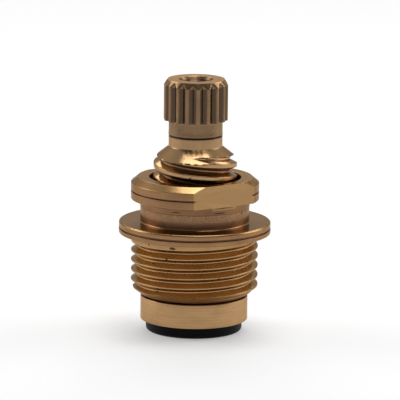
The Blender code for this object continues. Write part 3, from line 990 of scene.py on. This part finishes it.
FINISHES: dict[Finish, Brass | Rubber | Steel] = {
    Finish.BONNET: Brass(
        clean=(0.46, 0.270, 0.108), film=(0.180, 0.080, 0.042), deep=(0.030, 0.019, 0.012),
        roughness=0.24, lathe_pitch=0.16, lathe_depth=0.004, skin=0.0015, seed=1.0, pits=0.02,
        bands=(
            Band(6.0, 7.4, 0.3, 0.25, rough=0.15),  # the nose under the thread
            Band(15.2, 16.1, 0.15, 0.16),  # the relief above the thread
            Band(16.1, 17.8, 0.15, 0.45),  # the flange's rim
            Band(16.90, 17.16, 0.03, 0.9),  # the line in the flange: dark film and painted shade in its groove
            Band(23.05, 23.28, 0.03, 0.9),  # the line in the upper rim: dark film and painted shade in its groove
            Band(18.03, 18.3, 0.03, 0.15, rough=-0.06),  # the flange's top
            Band(18.3, 21.7, 0.15, 0.60, rough=0.08),  # the neck
            Band(18.2, 19.2, 0.20, 0.20),  # the neck's foot: painted shade just above the flange
            Band(19.3, 20.6, 0.25, 0.0, specks=0.55),  # pale specks round the neck
            Band(21.8, 24.4, 0.10, 0.55),  # the upper rim
            Band(25.3, 26.0, 0.03, 0.10),  # the top face
        ),
        # film and painted shade towards the roots of the outer thread
        grooves=(Groove(9.37, 9.60, 6.0, 15.2, 0.05),),
        spots=(
            Spot(-19.9, 15.35, 0.50, 0.22),
            Spot(-2.8, 15.95, 0.28, 0.16),
            Spot(0.4, 7.2, 0.22, 0.14),
            Spot(27.0, 20.85, 1.2, 0.10),
            Spot(-20.0, 21.0, 0.9, 0.09),
        ),
        flats=Flats(21.3)),
    Finish.SPINDLE: Brass(
        clean=(0.45, 0.272, 0.130), film=(0.100, 0.060, 0.035), deep=(0.030, 0.021, 0.015),
        roughness=0.20, lathe_pitch=0.14, lathe_depth=0.004, skin=0.002, seed=21.0, pits=0.02,
        bands=(
            Band(34.7, 41.3, 0.10, 0.45, rough=0.03),  # the broach
            Band(32.3, 34.6, 0.30, 0.48),  # the neck under the broach
            Band(32.02, 32.40, 0.10, 0.9),  # the line in the neck: dark film and painted shade in its groove
            Band(41.3, 42.0, 0.03, -0.55, rough=0.12),  # the top face, lightened: painted light where it faces the lamp above
            Band(28.8, 30.2, 0.2, -0.25),  # the cone, lightened: painted light where it faces the lamp above
            Band(30.7, 32.0, 0.15, 0.15),  # the neck's foot: painted dark reflection just above the cone
        ),
        grooves=(
            Groove(5.66, 6.10, 14.0, 28.6, 0.55),  # the stem thread: film and painted shade towards its roots
            Groove(4.95, 5.18, 34.7, 40.4, 0.55),  # the broach's teeth: film and painted shade towards their roots
            Groove(2.35, 2.50, 30.0, 41.1, 0.8),  # the hole for the handle's screw: painted shade over the whole hole and the foot of its countersink
        )),
    Finish.HOLDER: Brass(
        clean=(0.52, 0.310, 0.140), film=(0.185, 0.085, 0.045), deep=(0.06, 0.038, 0.020),
        roughness=0.34, lathe_pitch=0.11, lathe_depth=0.016, skin=0.003, seed=33.0, streaks=1.1),
    Finish.SCREW: Brass(
        clean=(0.45, 0.28, 0.11), film=(0.30, 0.18, 0.07), deep=(0.12, 0.07, 0.03),
        roughness=0.28, lathe_pitch=0.10, lathe_depth=0.006, skin=0.003, seed=45.0),
    Finish.THRUST: Brass(
        clean=(0.32, 0.18, 0.09), film=(0.22, 0.12, 0.06), deep=(0.09, 0.05, 0.03),
        roughness=0.36, lathe_pitch=0.12, lathe_depth=0.006, skin=0.003, seed=57.0),
    Finish.RING: Steel(colour=(0.45, 0.44, 0.42), roughness=0.28),
    Finish.WASHER: Rubber(
        colour=(0.003, 0.003, 0.003), dust=(0.008, 0.008, 0.008), roughness=0.50, grain=0.008,
        seed=3.0),
    Finish.SEAL: Rubber(
        colour=(0.010, 0.010, 0.011), dust=(0.03, 0.03, 0.03), roughness=0.40, grain=0.006,
        seed=9.0),
}


@dataclass
class Piece:
    """What every piece of the stem has: a node that it stands for, a body and a finish."""

    node: str
    body: str
    finish: Finish

    def dress(self, obj: bpy.types.Object, materials: dict[Finish, bpy.types.Material]) -> None:
        """Gives the new surface its finish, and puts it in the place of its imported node.

        Args:
            obj: The new surface.
            materials: The finishes, already built.
        """
        obj.data.materials.clear()
        obj.data.materials.append(materials[self.finish])
        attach(obj, self.body)
        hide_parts(self.node)
        LOG.info("%s: %d faces on body %s", obj.name, len(obj.data.polygons), self.body)


@dataclass
class StemThread:
    """The left-hand two-start thread that the spindle and the bonnet share."""

    pitch: float = INCH / 12
    starts: int = 2
    crest_radius: float = 6.77
    depth: float = 1.12
    crest_width: float = 0.63
    flank: float = math.radians(27)
    front_crest: float = 28.48
    play: float = 0.13
    fillets: Pair = (0.10, 0.14)
    groove_fillets: Pair = (0.05, 0.08)

    def on_spindle(self) -> ThreadForm:
        """The ridge on the spindle, which runs out on its cone."""
        return ThreadForm(
            self.pitch, self.starts, Hand.LEFT, self.crest_radius, self.crest_radius - self.depth,
            self.crest_width, self.depth * math.tan(self.flank), *self.fillets, self.front_crest)

    def in_bonnet(self) -> ThreadForm:
        """The groove in the bonnet, larger all round by the play.

        Returns:
            The form, whose crest is the groove's floor.
        """
        slope = math.tan(self.flank)
        floor = self.crest_radius + self.play
        width = self.crest_width + 2 * self.play * (1 - slope)
        return ThreadForm(
            self.pitch, self.starts, Hand.LEFT, floor, floor - self.depth, width,
            self.depth * slope, *self.groove_fillets, self.front_crest)


@dataclass
class Bonnet(Piece):
    """The brass body: outer thread, flange, neck and rim, and the bore and thread inside."""

    stem: StemThread
    sides: int = 200
    thread_radius: float = 13 / 16 * INCH / 2
    thread_pitch: float = INCH / 16
    thread_crest: float = 0.22
    thread_depth: float = 0.97
    thread_flank: float = math.radians(30)
    thread_fillets: Pair = (0.07, 0.12)
    thread_length: float = 8.80
    thread_runout: float = 0.5
    front_crest: float = 7.48
    nose_radius: float = 8.70
    nose_height: float = 1.25
    nose_plain: float = 0.3
    relief: float = 1.19
    relief_threaded: float = 0.65
    flange_radius: float = 12.33
    flange_thickness: float = 1.92
    flange_line: float = 0.90
    flange_line_form: tuple[Corner, ...] = (
        (0.0, -0.16, 0.03), (0.24, -0.08, 0.04), (0.24, 0.06, 0.04), (0.03, 0.16, 0.05))
    neck_radius: float = 8.85
    neck_height: float = 3.69
    neck_step: float = 1.15
    neck_step_height: float = 0.05
    neck_step_slope: float = 0.1
    rim_radius: float = 10.40
    chamfer_height: float = 0.88
    chamfer_width: float = 1.08
    rim_line_drop: float = 2.17
    rim_line_form: tuple[Corner, ...] = (
        (0.0, -0.14, 0.03), (0.24, -0.07, 0.04), (0.24, 0.05, 0.04), (0.0, 0.12, 0.03))
    flat_below_rim: float = 0.20
    bore_radius: float = 7.70
    bore_depth: float = 8.45
    bore_chamfer: float = 0.35
    mouth_radius: float = 7.45
    mouth_depth: float = 3.7

    def nose(self, above: np.ndarray | float) -> np.ndarray | float:
        """The tapered nose's radius at a height above the bonnet's lower end."""
        return self.nose_radius + (self.thread_radius - self.nose_radius) / self.nose_height * above

    def outer_thread(self, skin: Skin, base: float) -> None:
        """The thread that screws into the faucet, over a tapered nose.

        Args:
            skin: Takes the surface.
            base: Height of the bonnet's lower end.
        """
        end = base + self.thread_length
        form = ThreadForm(
            self.thread_pitch, 1, Hand.RIGHT, self.thread_radius,
            self.thread_radius - self.thread_depth, self.thread_crest,
            self.thread_depth * math.tan(self.thread_flank), *self.thread_fillets,
            base + self.front_crest, end, self.thread_runout)

        def limit(radius: np.ndarray, height: np.ndarray, angle: np.ndarray) -> np.ndarray:
            """The thread's radius, or the nose's where that is smaller."""
            return np.minimum(radius, self.nose(height - base))

        skin.thread(form, base + self.nose_plain * self.nose_height,
                    end + self.relief_threaded * self.relief, limit)

    def inner_thread(self, skin: Skin, low: float, high: float) -> None:
        """The stem thread inside, opened by a chamfer at both ends.

        Args:
            skin: Takes the surface.
            low: Height where the thread starts.
            high: Height where it ends.
        """
        form = self.stem.in_bonnet()

        def limit(radius: np.ndarray, height: np.ndarray, angle: np.ndarray) -> np.ndarray:
            """The thread's radius, or the chamfer's where that is larger."""
            return np.maximum(radius, form.crest_radius - np.minimum(height - low, high - height))

        skin.thread(form, low, high, limit)

    def make(self) -> bpy.types.Object:
        """Builds the bonnet's surface: both threads, the bore and nose, and the outside.

        Returns:
            The object.
        """
        base, top = heights(self.node)
        skin = Skin(even_angles(self.sides))
        nose_end = self.nose_plain * self.nose_height
        thread_end = base + self.thread_length
        flange_base = thread_end + self.relief
        flange_top = flange_base + self.flange_thickness
        rim_base = flange_top + self.neck_height
        step = rim_base - self.neck_step
        step_radius = self.neck_radius + self.neck_step_height
        bore_top = base + self.bore_depth
        mouth_floor = top - self.mouth_depth
        major = self.stem.crest_radius + self.stem.play
        self.outer_thread(skin, base)
        self.inner_thread(skin, bore_top, mouth_floor)
        skin.turn(rounded([
            (major, bore_top, 0),
            (self.bore_radius, bore_top, SOFT),
            (self.bore_radius, base + self.bore_chamfer, BREAK),
            (self.bore_radius + self.bore_chamfer, base, BREAK),
            (self.nose_radius, base, 0.12),
            (self.nose(nose_end), base + nose_end, 0),
        ]))
        skin.turn(rounded([
            (self.thread_radius, thread_end + self.relief_threaded * self.relief, 0),
            (self.thread_radius, flange_base, 0.12),
            (self.flange_radius, flange_base, 0.22),
            *turned_line(self.flange_radius, flange_base + self.flange_line, self.flange_line_form),
            (self.flange_radius, flange_top, 0.28),
            (self.neck_radius, flange_top, 0.16),
            (self.neck_radius, step - self.neck_step_slope, 0.03),
            (step_radius, step, 0.03),
            (step_radius, rim_base, SOFT),
            (self.rim_radius, rim_base, 0.14),
            *turned_line(self.rim_radius, top - self.rim_line_drop, self.rim_line_form),
            (self.rim_radius, top - self.chamfer_height, SOFT),
            (self.rim_radius - self.chamfer_width, top, 0.12),
            (self.mouth_radius, top, SOFT),
            (self.mouth_radius, mouth_floor, SOFT),
            (major, mouth_floor, 0),
        ], step=0.3))
        bonnet = skin.build("bonnet_surface")
        self.cut_flats(bonnet, rim_base - self.flat_below_rim, top)
        return bonnet

    def cut_flats(self, bonnet: bpy.types.Object, low: float, top: float) -> None:
        """Mills the two wrench flats.

        Args:
            bonnet: The bonnet's surface.
            low: Height where the flats end below.
            top: Height of the rim's top.
        """
        depth = self.rim_radius
        height = 2 * (top - low)
        reach = FLAT_DISTANCE + depth / 2
        for angle in (FRONT + FLAT_AZIMUTH, FRONT + FLAT_AZIMUTH + math.pi):
            place = (reach * math.cos(angle), reach * math.sin(angle), low + height / 2)
            carve(bonnet, (depth, 4 * self.rim_radius, height), place, angle)


@dataclass
class Spindle(Piece):
    """The brass stem: socket, barrel with seal grooves, stem thread, cone, neck and broach."""

    stem: StemThread
    teeth: int = 18
    tooth_points: int = 10
    crest_points: int = 4
    broach_radius: float = 5.20
    broach_root: float = 4.68
    broach_crest: float = 0.24
    broach_length: float = 6.69
    broach_top_radius: float = 4.62
    broach_edge: float = 0.10
    root_round: float = 0.08
    root_width: float = 1.06
    chamfer_height: float = 0.92
    chamfer_rows: int = 26
    edge_rows: int = 5
    broach_azimuth: float = math.radians(4)
    neck_radius: float = 4.37
    lower_neck: float = 1.814
    neck_line_form: tuple[Corner, ...] = (
        (0.0, -0.14, 0.04), (0.20, -0.02, 0.04), (-0.04, 0.12, 0.05), (0.0, 0.9, 0))
    cone_angle: float = math.radians(38)
    cone_height: float = 1.619
    cone_plain: float = 0.35
    thread_length: float = 13.5
    relief_length: float = 0.9
    relief_depth: float = 0.2
    barrel_radius: float = 7.55
    barrel_length: float = 7.35
    barrel_edge: float = 0.25
    groove_floor: float = 6.30
    groove_width: float = 2.2
    ring_drops: tuple[float, float] = (1.35, 4.05)
    socket_radius: float = 3.8
    socket_depth: float = 5.1
    ring_reach: float = 4.32
    ring_height: float = 2.8
    ring_half: float = 0.62
    sink_radius: float = 2.80
    sink_depth: float = 0.55
    screw_pitch: float = INCH / 24
    screw_radius: float = 2.35
    screw_root: float = 1.87
    screw_crest: float = 0.16
    screw_flank: float = math.radians(32)
    screw_fillets: Pair = (0.03, 0.05)
    screw_start: float = 0.4
    screw_depth: float = 9.0
    screw_taper: float = 0.8
    drill_depth: float = 3.0
    drill_point: float = 0.6

    def tooth(self) -> Pair:
        """The angle of one tooth and half the angle of its crest."""
        return TURN / self.teeth, self.broach_crest / 2 / self.broach_radius

    def angles(self) -> np.ndarray:
        """Angles that put points on every tooth's crest corners and roots.

        Returns:
            The angles, rising from 0 up to a full turn.
        """
        tooth, half = self.tooth()
        crest = np.linspace(-half, half, self.crest_points, endpoint=False)
        rest = np.linspace(half, tooth - half, self.tooth_points - self.crest_points, endpoint=False)
        every = np.concatenate([crest, rest]) + np.arange(self.teeth)[:, None] * tooth
        return np.sort((every.reshape(-1) + FRONT + self.broach_azimuth) % TURN)

    def tooth_radius(self, angle: np.ndarray) -> np.ndarray:
        """The broach's outline: a flat crest, then straight sides down to a rounded root.

        Args:
            angle: Angles round the axis.

        Returns:
            The outline's radius at each.
        """
        tooth, half = self.tooth()
        off = np.abs((angle - FRONT - self.broach_azimuth + tooth / 2) % tooth - tooth / 2)
        share = np.clip((off - half) / (tooth / 2 - half), 0, 1)
        bottom = 0.5 - 0.5 * np.cos(math.pi * np.clip(share * self.root_width, 0, 1))
        share = (1 - self.root_round) * share + self.root_round * bottom
        return self.broach_radius + (self.broach_root - self.broach_radius) * share

    def broach(self, skin: Skin, top: float) -> None:
        """The toothed end, from its underside to the countersink of the screw's hole.

        Args:
            skin: Takes the surface.
            top: Height of the spindle's top.
        """
        wall, edge = self.broach_radius, self.broach_edge
        low = top - self.broach_length
        shoulder = top - self.chamfer_height - edge
        slope = (wall - self.broach_top_radius) / self.chamfer_height

        def shape(radius: np.ndarray, height: np.ndarray, angle: np.ndarray) -> np.ndarray:
            """The smallest of the profile, the rounded tooth outline and the chamfer at the top.

            Args:
                radius: The profile's radius.
                height: The height.
                angle: The angle round the axis.

            Returns:
                The radius.
            """
            lifted = np.clip((low + edge - height) / edge, 0, 1)
            teeth = self.tooth_radius(angle) - edge * (1 - np.sqrt(np.clip(1 - lifted ** 2, 0, 1)))
            cone = self.broach_top_radius + slope * (top - height)
            return np.minimum(radius, np.minimum(teeth, cone))

        under = rounded([(self.neck_radius, low, 0), (wall, low, 0)], step=0.5)
        turned = low + edge * (1 - np.cos(np.linspace(0, math.pi / 2, self.edge_rows)))
        straight = rounded([(wall, low + edge, 0), (wall, shoulder, 0)], step=0.5)[:, 1]
        chamfer = np.linspace(shoulder, top, self.chamfer_rows)
        rows = np.concatenate([turned[1:], straight[1:], chamfer[1:]])
        side = np.stack([np.full(rows.size, wall), rows], axis=1)
        skin.turn(np.concatenate([under, side]), shape)
        skin.turn(rounded([
            (self.broach_top_radius, top, 0),
            (self.sink_radius, top, SOFT),
            (self.screw_radius, top - self.sink_depth, 0.0),
        ], step=0.3))

    def screw_hole(self, skin: Skin, top: float) -> None:
        """The tapped hole under the countersink, down to its drill point.

        Args:
            skin: Takes the surface.
            top: Height of the spindle's top.
        """
        high = top - self.sink_depth
        low = top - self.screw_depth
        end = low - self.drill_depth
        form = ThreadForm(
            self.screw_pitch, 1, Hand.RIGHT, self.screw_radius, self.screw_root, self.screw_crest,
            (self.screw_radius - self.screw_root) * math.tan(self.screw_flank),
            *self.screw_fillets, high - self.screw_start, arc_points=2, pieces=4)

        def limit(radius: np.ndarray, height: np.ndarray, angle: np.ndarray) -> np.ndarray:
            """The thread's radius, opened by a chamfer above and closed to the drill below."""
            opened = np.maximum(radius, self.screw_radius - (high - height))
            return np.minimum(opened, self.screw_root + np.maximum(height - low, 0) * self.screw_taper)

        skin.thread(form, low, high, limit)
        skin.turn(rounded([
            (self.screw_root, low, 0),
            (self.screw_root, end, 0),
            (0.0, end - self.screw_root * self.drill_point, 0),
        ], step=0.6))

    def barrel(self, skin: Skin, base: float, relief: float) -> None:
        """The barrel under the thread, with its seal grooves, and the socket with its ring groove.

        Args:
            skin: Takes the surface.
            base: Height of the spindle's lower end.
            relief: Radius of the relief between barrel and thread.
        """
        edge = self.barrel_edge
        top = base + self.barrel_length
        ring = base + self.ring_height
        half = self.groove_width / 2
        corners = [
            (relief, top + self.relief_length, 0),
            (relief, top, 0.15),
            (self.barrel_radius - edge / 2, top, BREAK),
            (self.barrel_radius, top - edge / 2, BREAK),
        ]
        for drop in self.ring_drops:
            corners += [
                (self.barrel_radius, top - drop + half, 0.08),
                (self.groove_floor, top - drop + half, 0.12),
                (self.groove_floor, top - drop - half, 0.12),
                (self.barrel_radius, top - drop - half, 0.08),
            ]
        corners += [
            (self.barrel_radius, base + edge, BREAK),
            (self.barrel_radius - edge, base, BREAK),
            (self.socket_radius + edge, base, BREAK),
            (self.socket_radius, base + edge, BREAK),
            (self.socket_radius, ring - self.ring_half, BREAK),
            (self.ring_reach, ring - self.ring_half, SOFT),
            (self.ring_reach, ring + self.ring_half, SOFT),
            (self.socket_radius, ring + self.ring_half, BREAK),
            (self.socket_radius, base + self.socket_depth, 0),
            (0.0, base + self.socket_depth, 0),
        ]
        skin.turn(rounded(corners, step=0.6, arc_points=4))

    def make(self) -> bpy.types.Object:
        """Builds the spindle's surface: stem thread, cone and neck, broach, hole and barrel.

        Returns:
            The object.
        """
        base, top = heights(self.node)
        skin = Skin(self.angles())
        slope = math.tan(self.cone_angle)
        thread_base = base + self.barrel_length + self.relief_length
        cone_rise = (self.stem.crest_radius - self.neck_radius) * slope
        cone_top = thread_base + self.thread_length + self.cone_height
        cone_base = cone_top - cone_rise
        thread_end = cone_top - self.cone_plain * cone_rise
        relief = self.stem.crest_radius - self.stem.depth - self.relief_depth

        def limit(radius: np.ndarray, height: np.ndarray, angle: np.ndarray) -> np.ndarray:
            """The thread's radius, or the cone's above or the relief's below if smaller."""
            cone = self.stem.crest_radius - (height - cone_base) / slope
            return np.minimum(radius, np.minimum(cone, relief + height - thread_base))

        skin.thread(self.stem.on_spindle(), thread_base, thread_end, limit)
        skin.turn(rounded([
            (self.stem.crest_radius - (thread_end - cone_base) / slope, thread_end, 0),
            (self.neck_radius, cone_top, 0.18),
            *turned_line(self.neck_radius, cone_top + self.lower_neck, self.neck_line_form),
            (self.neck_radius, top - self.broach_length, 0),
        ], step=0.3))
        self.broach(skin, top)
        self.screw_hole(skin, top)
        self.barrel(skin, base, relief)
        return skin.build("spindle_surface", sharp=34)


@dataclass
class WasherHolder(Piece):
    """The cup for the seat washer, with the stud that turns in the spindle."""

    sides: int = 240
    radius: float = 8.72
    edge: float = 0.12
    height: float = 3.93
    cup_radius: float = 7.93
    cup_depth: float = 1.48
    hole_radius: float = 2.20
    hole_top: float = 6.28
    stud_radius: float = 3.60
    stud_chamfer: float = 0.4
    ring_height: float = 7.93
    ring_half: float = 0.62
    ring_floor: float = 3.08

    def make(self) -> bpy.types.Object:
        """Builds the holder's surface.

        Returns:
            The object.
        """
        base, top = heights(self.node)
        flange = base + self.height
        ring = base + self.ring_height
        skin = Skin(even_angles(self.sides))
        skin.turn(rounded([
            (0.0, base + self.hole_top, 0),
            (self.hole_radius, base + self.hole_top, SOFT),
            (self.hole_radius, base + self.cup_depth, BREAK),
            (self.cup_radius, base + self.cup_depth, 0.12),
            (self.cup_radius, base, 0.06),
            (self.radius, base, self.edge),
            (self.radius, flange, self.edge),
            (self.stud_radius, flange, 0.15),
            (self.stud_radius, ring - self.ring_half, BREAK),
            (self.ring_floor, ring - self.ring_half, SOFT),
            (self.ring_floor, ring + self.ring_half, SOFT),
            (self.stud_radius, ring + self.ring_half, BREAK),
            (self.stud_radius, top - self.stud_chamfer, BREAK),
            (self.stud_radius - self.stud_chamfer, top, BREAK),
            (0.0, top, 0),
        ]))
        return skin.build("washer_holder_surface")


@dataclass
class SeatWasher(Piece):
    """The rubber washer: a disc with rounded edges and a recess for the screw's head."""

    sides: int = 200
    radius: float = 7.81
    edge: float = 0.6
    hole_radius: float = 2.20
    recess_radius: float = 4.10
    recess_depth: float = 1.85

    def make(self) -> bpy.types.Object:
        """Builds the washer's surface.

        Returns:
            The object.
        """
        base, top = heights(self.node)
        skin = Skin(even_angles(self.sides))
        skin.turn(rounded([
            (self.hole_radius, top, 0),
            (self.hole_radius, base + self.recess_depth, SOFT),
            (self.recess_radius, base + self.recess_depth, 0.15),
            (self.recess_radius, base, 0.3),
            (self.radius, base, self.edge),
            (self.radius, top, 0.2),
            (self.hole_radius, top, 0),
        ], arc_points=10))
        return skin.build("seat_washer_surface")


@dataclass
class SeatScrew(Piece):
    """The slotted screw under the washer."""

    sides: int = 96
    head_radius: float = 3.90
    head_height: float = 1.25
    head_edge: float = 0.45
    shank_radius: float = 2.05
    shank_end: float = 0.3
    thread_root: float = 1.62
    thread_crest: float = 0.1
    thread_flank: float = math.radians(30)
    thread_fillets: Pair = (0.02, 0.04)
    thread_margin: float = 0.5
    pitch: float = INCH / 32
    slot_width: float = 1.10
    slot_depth: float = 0.60
    slot_azimuth: float = math.radians(33)

    def make(self) -> bpy.types.Object:
        """Builds the screw's surface.

        Returns:
            The object.
        """
        base, top = heights(self.node)
        head_top = base + self.head_height
        low, high = head_top + self.thread_margin, top - self.thread_margin
        skin = Skin(even_angles(self.sides))
        form = ThreadForm(
            self.pitch, 1, Hand.RIGHT, self.shank_radius, self.thread_root, self.thread_crest,
            (self.shank_radius - self.thread_root) * math.tan(self.thread_flank),
            *self.thread_fillets, low, arc_points=2, pieces=4)

        def limit(radius: np.ndarray, height: np.ndarray, angle: np.ndarray) -> np.ndarray:
            """The thread's radius, tapered at both ends."""
            return np.minimum(radius, self.thread_root + np.minimum(height - low, high - height))

        skin.thread(form, low, high, limit)
        skin.turn(rounded([
            (0.0, base, 0),
            (self.head_radius, base, self.head_edge),
            (self.head_radius, head_top, SOFT),
            (self.thread_root, head_top, SOFT),
            (self.thread_root, low, 0),
        ]))
        skin.turn(rounded([
            (self.thread_root, high, 0),
            (self.thread_root, top - self.shank_end, SOFT),
            (self.thread_root - self.shank_end, top, SOFT),
            (0.0, top, 0),
        ]))
        screw = skin.build("seat_washer_screw_surface")
        slot = (3 * self.head_radius, self.slot_width, 2 * self.slot_depth)
        carve(screw, slot, (0, 0, base), self.slot_azimuth)
        return screw


@dataclass
class ThrustWasher(Piece):
    """The flat bearing washer between the spindle and the holder."""

    sides: int = 160
    radius: float = 7.0
    hole_radius: float = 3.8
    edge: float = 0.1

    def make(self) -> bpy.types.Object:
        """Builds the washer's surface.

        Returns:
            The object.
        """
        base, top = heights(self.node)
        seam = (self.hole_radius, (base + top) / 2, 0)
        skin = Skin(even_angles(self.sides))
        skin.turn(rounded([
            seam,
            (self.hole_radius, base, self.edge),
            (self.radius, base, self.edge),
            (self.radius, top, self.edge),
            (self.hole_radius, top, self.edge),
            seam,
        ]))
        return skin.build("thrust_washer_surface")


@dataclass
class Loop(Piece):
    """A ring of oval section: a seal ring, or the split wire ring of the swivel."""

    middle: float
    half_width: float
    half_height: float
    split: float = 0.0
    sides: int = 144
    corners: int = 20

    def make(self) -> bpy.types.Object:
        """Builds the ring's surface.

        Returns:
            The object.
        """
        half = (self.half_width, self.half_height)
        skin = Skin(even_angles(self.sides))
        skin.tube(self.middle, sum(heights(self.node)) / 2, half, self.corners, self.split)
        return skin.build(f"{self.node}_surface")


@dataclass(frozen=True)
class Lamp:
    """A soft box: its name, place, width and depth, power in watts and what it points at."""

    name: str
    place: Place
    size: Pair
    power: float
    aim: Place

    def hang(self) -> None:
        """Adds the lamp to the scene."""
        data = bpy.data.lights.new(self.name, "AREA")
        data.shape = "RECTANGLE"
        data.size, data.size_y = (side * MM for side in self.size)
        data.energy = self.power
        obj = bpy.data.objects.new(self.name, data)
        bpy.context.scene.collection.objects.link(obj)
        towards = Vector(self.aim) - Vector(self.place)
        turned = towards.to_track_quat("-Z", "Y").to_matrix().to_4x4()
        obj.matrix_world = Matrix.Translation(Vector(self.place) * MM) @ turned


@dataclass(frozen=True)
class Studio:
    """A pale floor, soft boxes above, behind and at both sides, a dim front and a long lens."""

    target: Place = (0.82, 0.0, 21.42)
    distance: float = 710.0
    elevation: float = math.radians(11.4)
    roll: float = math.radians(0.6)
    lens: float = 394.0
    sensor: float = 36.0
    sight: float = 20000.0
    floor_side: float = 3000.0
    floor_drop: float = 0.02
    floor_colour: Colour = (0.93, 0.93, 0.93)
    floor_roughness: float = 0.9
    floor_glow: float = 0.35
    front_light: float = 0.09
    back_light: float = 0.38
    back_edge: Pair = (-0.25, 0.75)
    sky_light: float = 0.13
    sky_edge: Pair = (0.1, 0.9)
    lamps: tuple[Lamp, ...] = (
        Lamp("overhead_box", (40, 30, 500), (340, 280), 1.05, (0, 0, 25)),
        Lamp("back_box", (0, 900, 700), (900, 300), 3.8, (0, 300, 0)),
        Lamp("left_box", (-400, 120, 220), (300, 300), 0.7, (0, 120, 0)),
        Lamp("right_box", (400, 120, 220), (300, 300), 0.7, (0, 120, 0)),
    )

    def camera(self) -> None:
        """Puts the camera at the photograph's angle: in front, a little above, slightly rolled."""
        data = bpy.data.cameras.new("camera")
        data.lens = self.lens
        data.sensor_width = self.sensor
        data.clip_end = self.sight * MM
        obj = bpy.data.objects.new("camera", data)
        bpy.context.scene.collection.objects.link(obj)
        away = Vector((0, -math.cos(self.elevation), math.sin(self.elevation)))
        place = (Vector(self.target) + away * self.distance) * MM
        look = away.to_track_quat("Z", "Y").to_matrix().to_4x4()
        turned = look @ Matrix.Rotation(self.roll, 4, "Z")
        obj.matrix_world = Matrix.Translation(place) @ turned
        bpy.context.scene.camera = obj

    def floor(self) -> None:
        """Lays a wide pale floor under the washer, with some white of its own for the camera."""
        mesh = bpy.data.meshes.new("floor")
        side, low = self.floor_side * MM, -self.floor_drop * MM
        corners = [(-side, -side, low), (side, -side, low), (side, side, low), (-side, side, low)]
        mesh.from_pydata(corners, [], [(0, 1, 2, 3)])
        obj = bpy.data.objects.new("floor", mesh)
        bpy.context.scene.collection.objects.link(obj)
        p = Palette("floor")
        rays = p.add("ShaderNodeLightPath").outputs
        kinds = ("Is Camera Ray", "Is Glossy Ray", "Is Transmission Ray")
        camera, glossy, through = (Value(p, rays[kind]) for kind in kinds)
        white = p.add("ShaderNodeEmission", inputs={"Color": (1, 1, 1, 1), "Strength": 1.0})
        mixed = p.add("ShaderNodeMixShader", inputs={
            0: (camera + glossy + through) * self.floor_glow, 1: p.shader.outputs[0],
            2: white.outputs[0]})
        p.feed(p.tree.nodes["Material Output"].inputs["Surface"], mixed.outputs[0])
        mesh.materials.append(p.finished({
            "Base Color": (*self.floor_colour, 1.0), "Roughness": self.floor_roughness}))

    def world(self) -> None:
        """Makes the world pale behind and above, and dim in front."""
        world = bpy.data.worlds.new("studio")
        world.use_nodes = True
        bpy.context.scene.world = world
        graph = Graph(world.node_tree)
        background = graph.tree.nodes["Background"]
        _, y, z = graph.split(graph.add("ShaderNodeTexCoord").outputs["Generated"])
        light = self.front_light + self.back_light * y.between(*self.back_edge)
        light = light + self.sky_light * z.between(*self.sky_edge)
        graph.feed(background.inputs["Strength"], light)
        graph.feed(background.inputs["Color"], (1, 1, 1, 1))

    def build(self) -> None:
        """Sets up the whole studio."""
        self.camera()
        self.floor()
        self.world()
        for lamp in self.lamps:
            lamp.hang()
        bpy.context.scene.view_settings.view_transform = "Standard"


def main() -> None:
    """Builds the studio, the finishes and the pieces, and reports each piece."""
    logging.basicConfig(level=logging.INFO, format="%(name)s: %(message)s")
    Studio().build()
    materials = {kind: finish.make(kind.value) for kind, finish in FINISHES.items()}
    stem = StemThread()
    seal = {"middle": 7.0, "half_width": 0.66, "half_height": 0.95}
    wire = {"middle": 3.7, "half_width": 0.5, "half_height": 0.5, "split": math.radians(40)}
    pieces = [
        Bonnet("bonnet", "bonnet", Finish.BONNET, stem),
        Spindle("spindle", "spindle", Finish.SPINDLE, stem),
        Loop("o_ring_upper", "spindle", Finish.SEAL, **seal),
        Loop("o_ring_lower", "spindle", Finish.SEAL, **seal),
        ThrustWasher("thrust_washer", "thrust", Finish.THRUST),
        Loop("retaining_ring", "thrust", Finish.RING, **wire),
        WasherHolder("washer_holder", "washer_end", Finish.HOLDER),
        SeatWasher("seat_washer", "washer_end", Finish.WASHER),
        SeatScrew("seat_washer_screw", "washer_end", Finish.SCREW),
    ]
    for piece in pieces:
        piece.dress(piece.make(), materials)


if __name__ == "__main__":
    main()
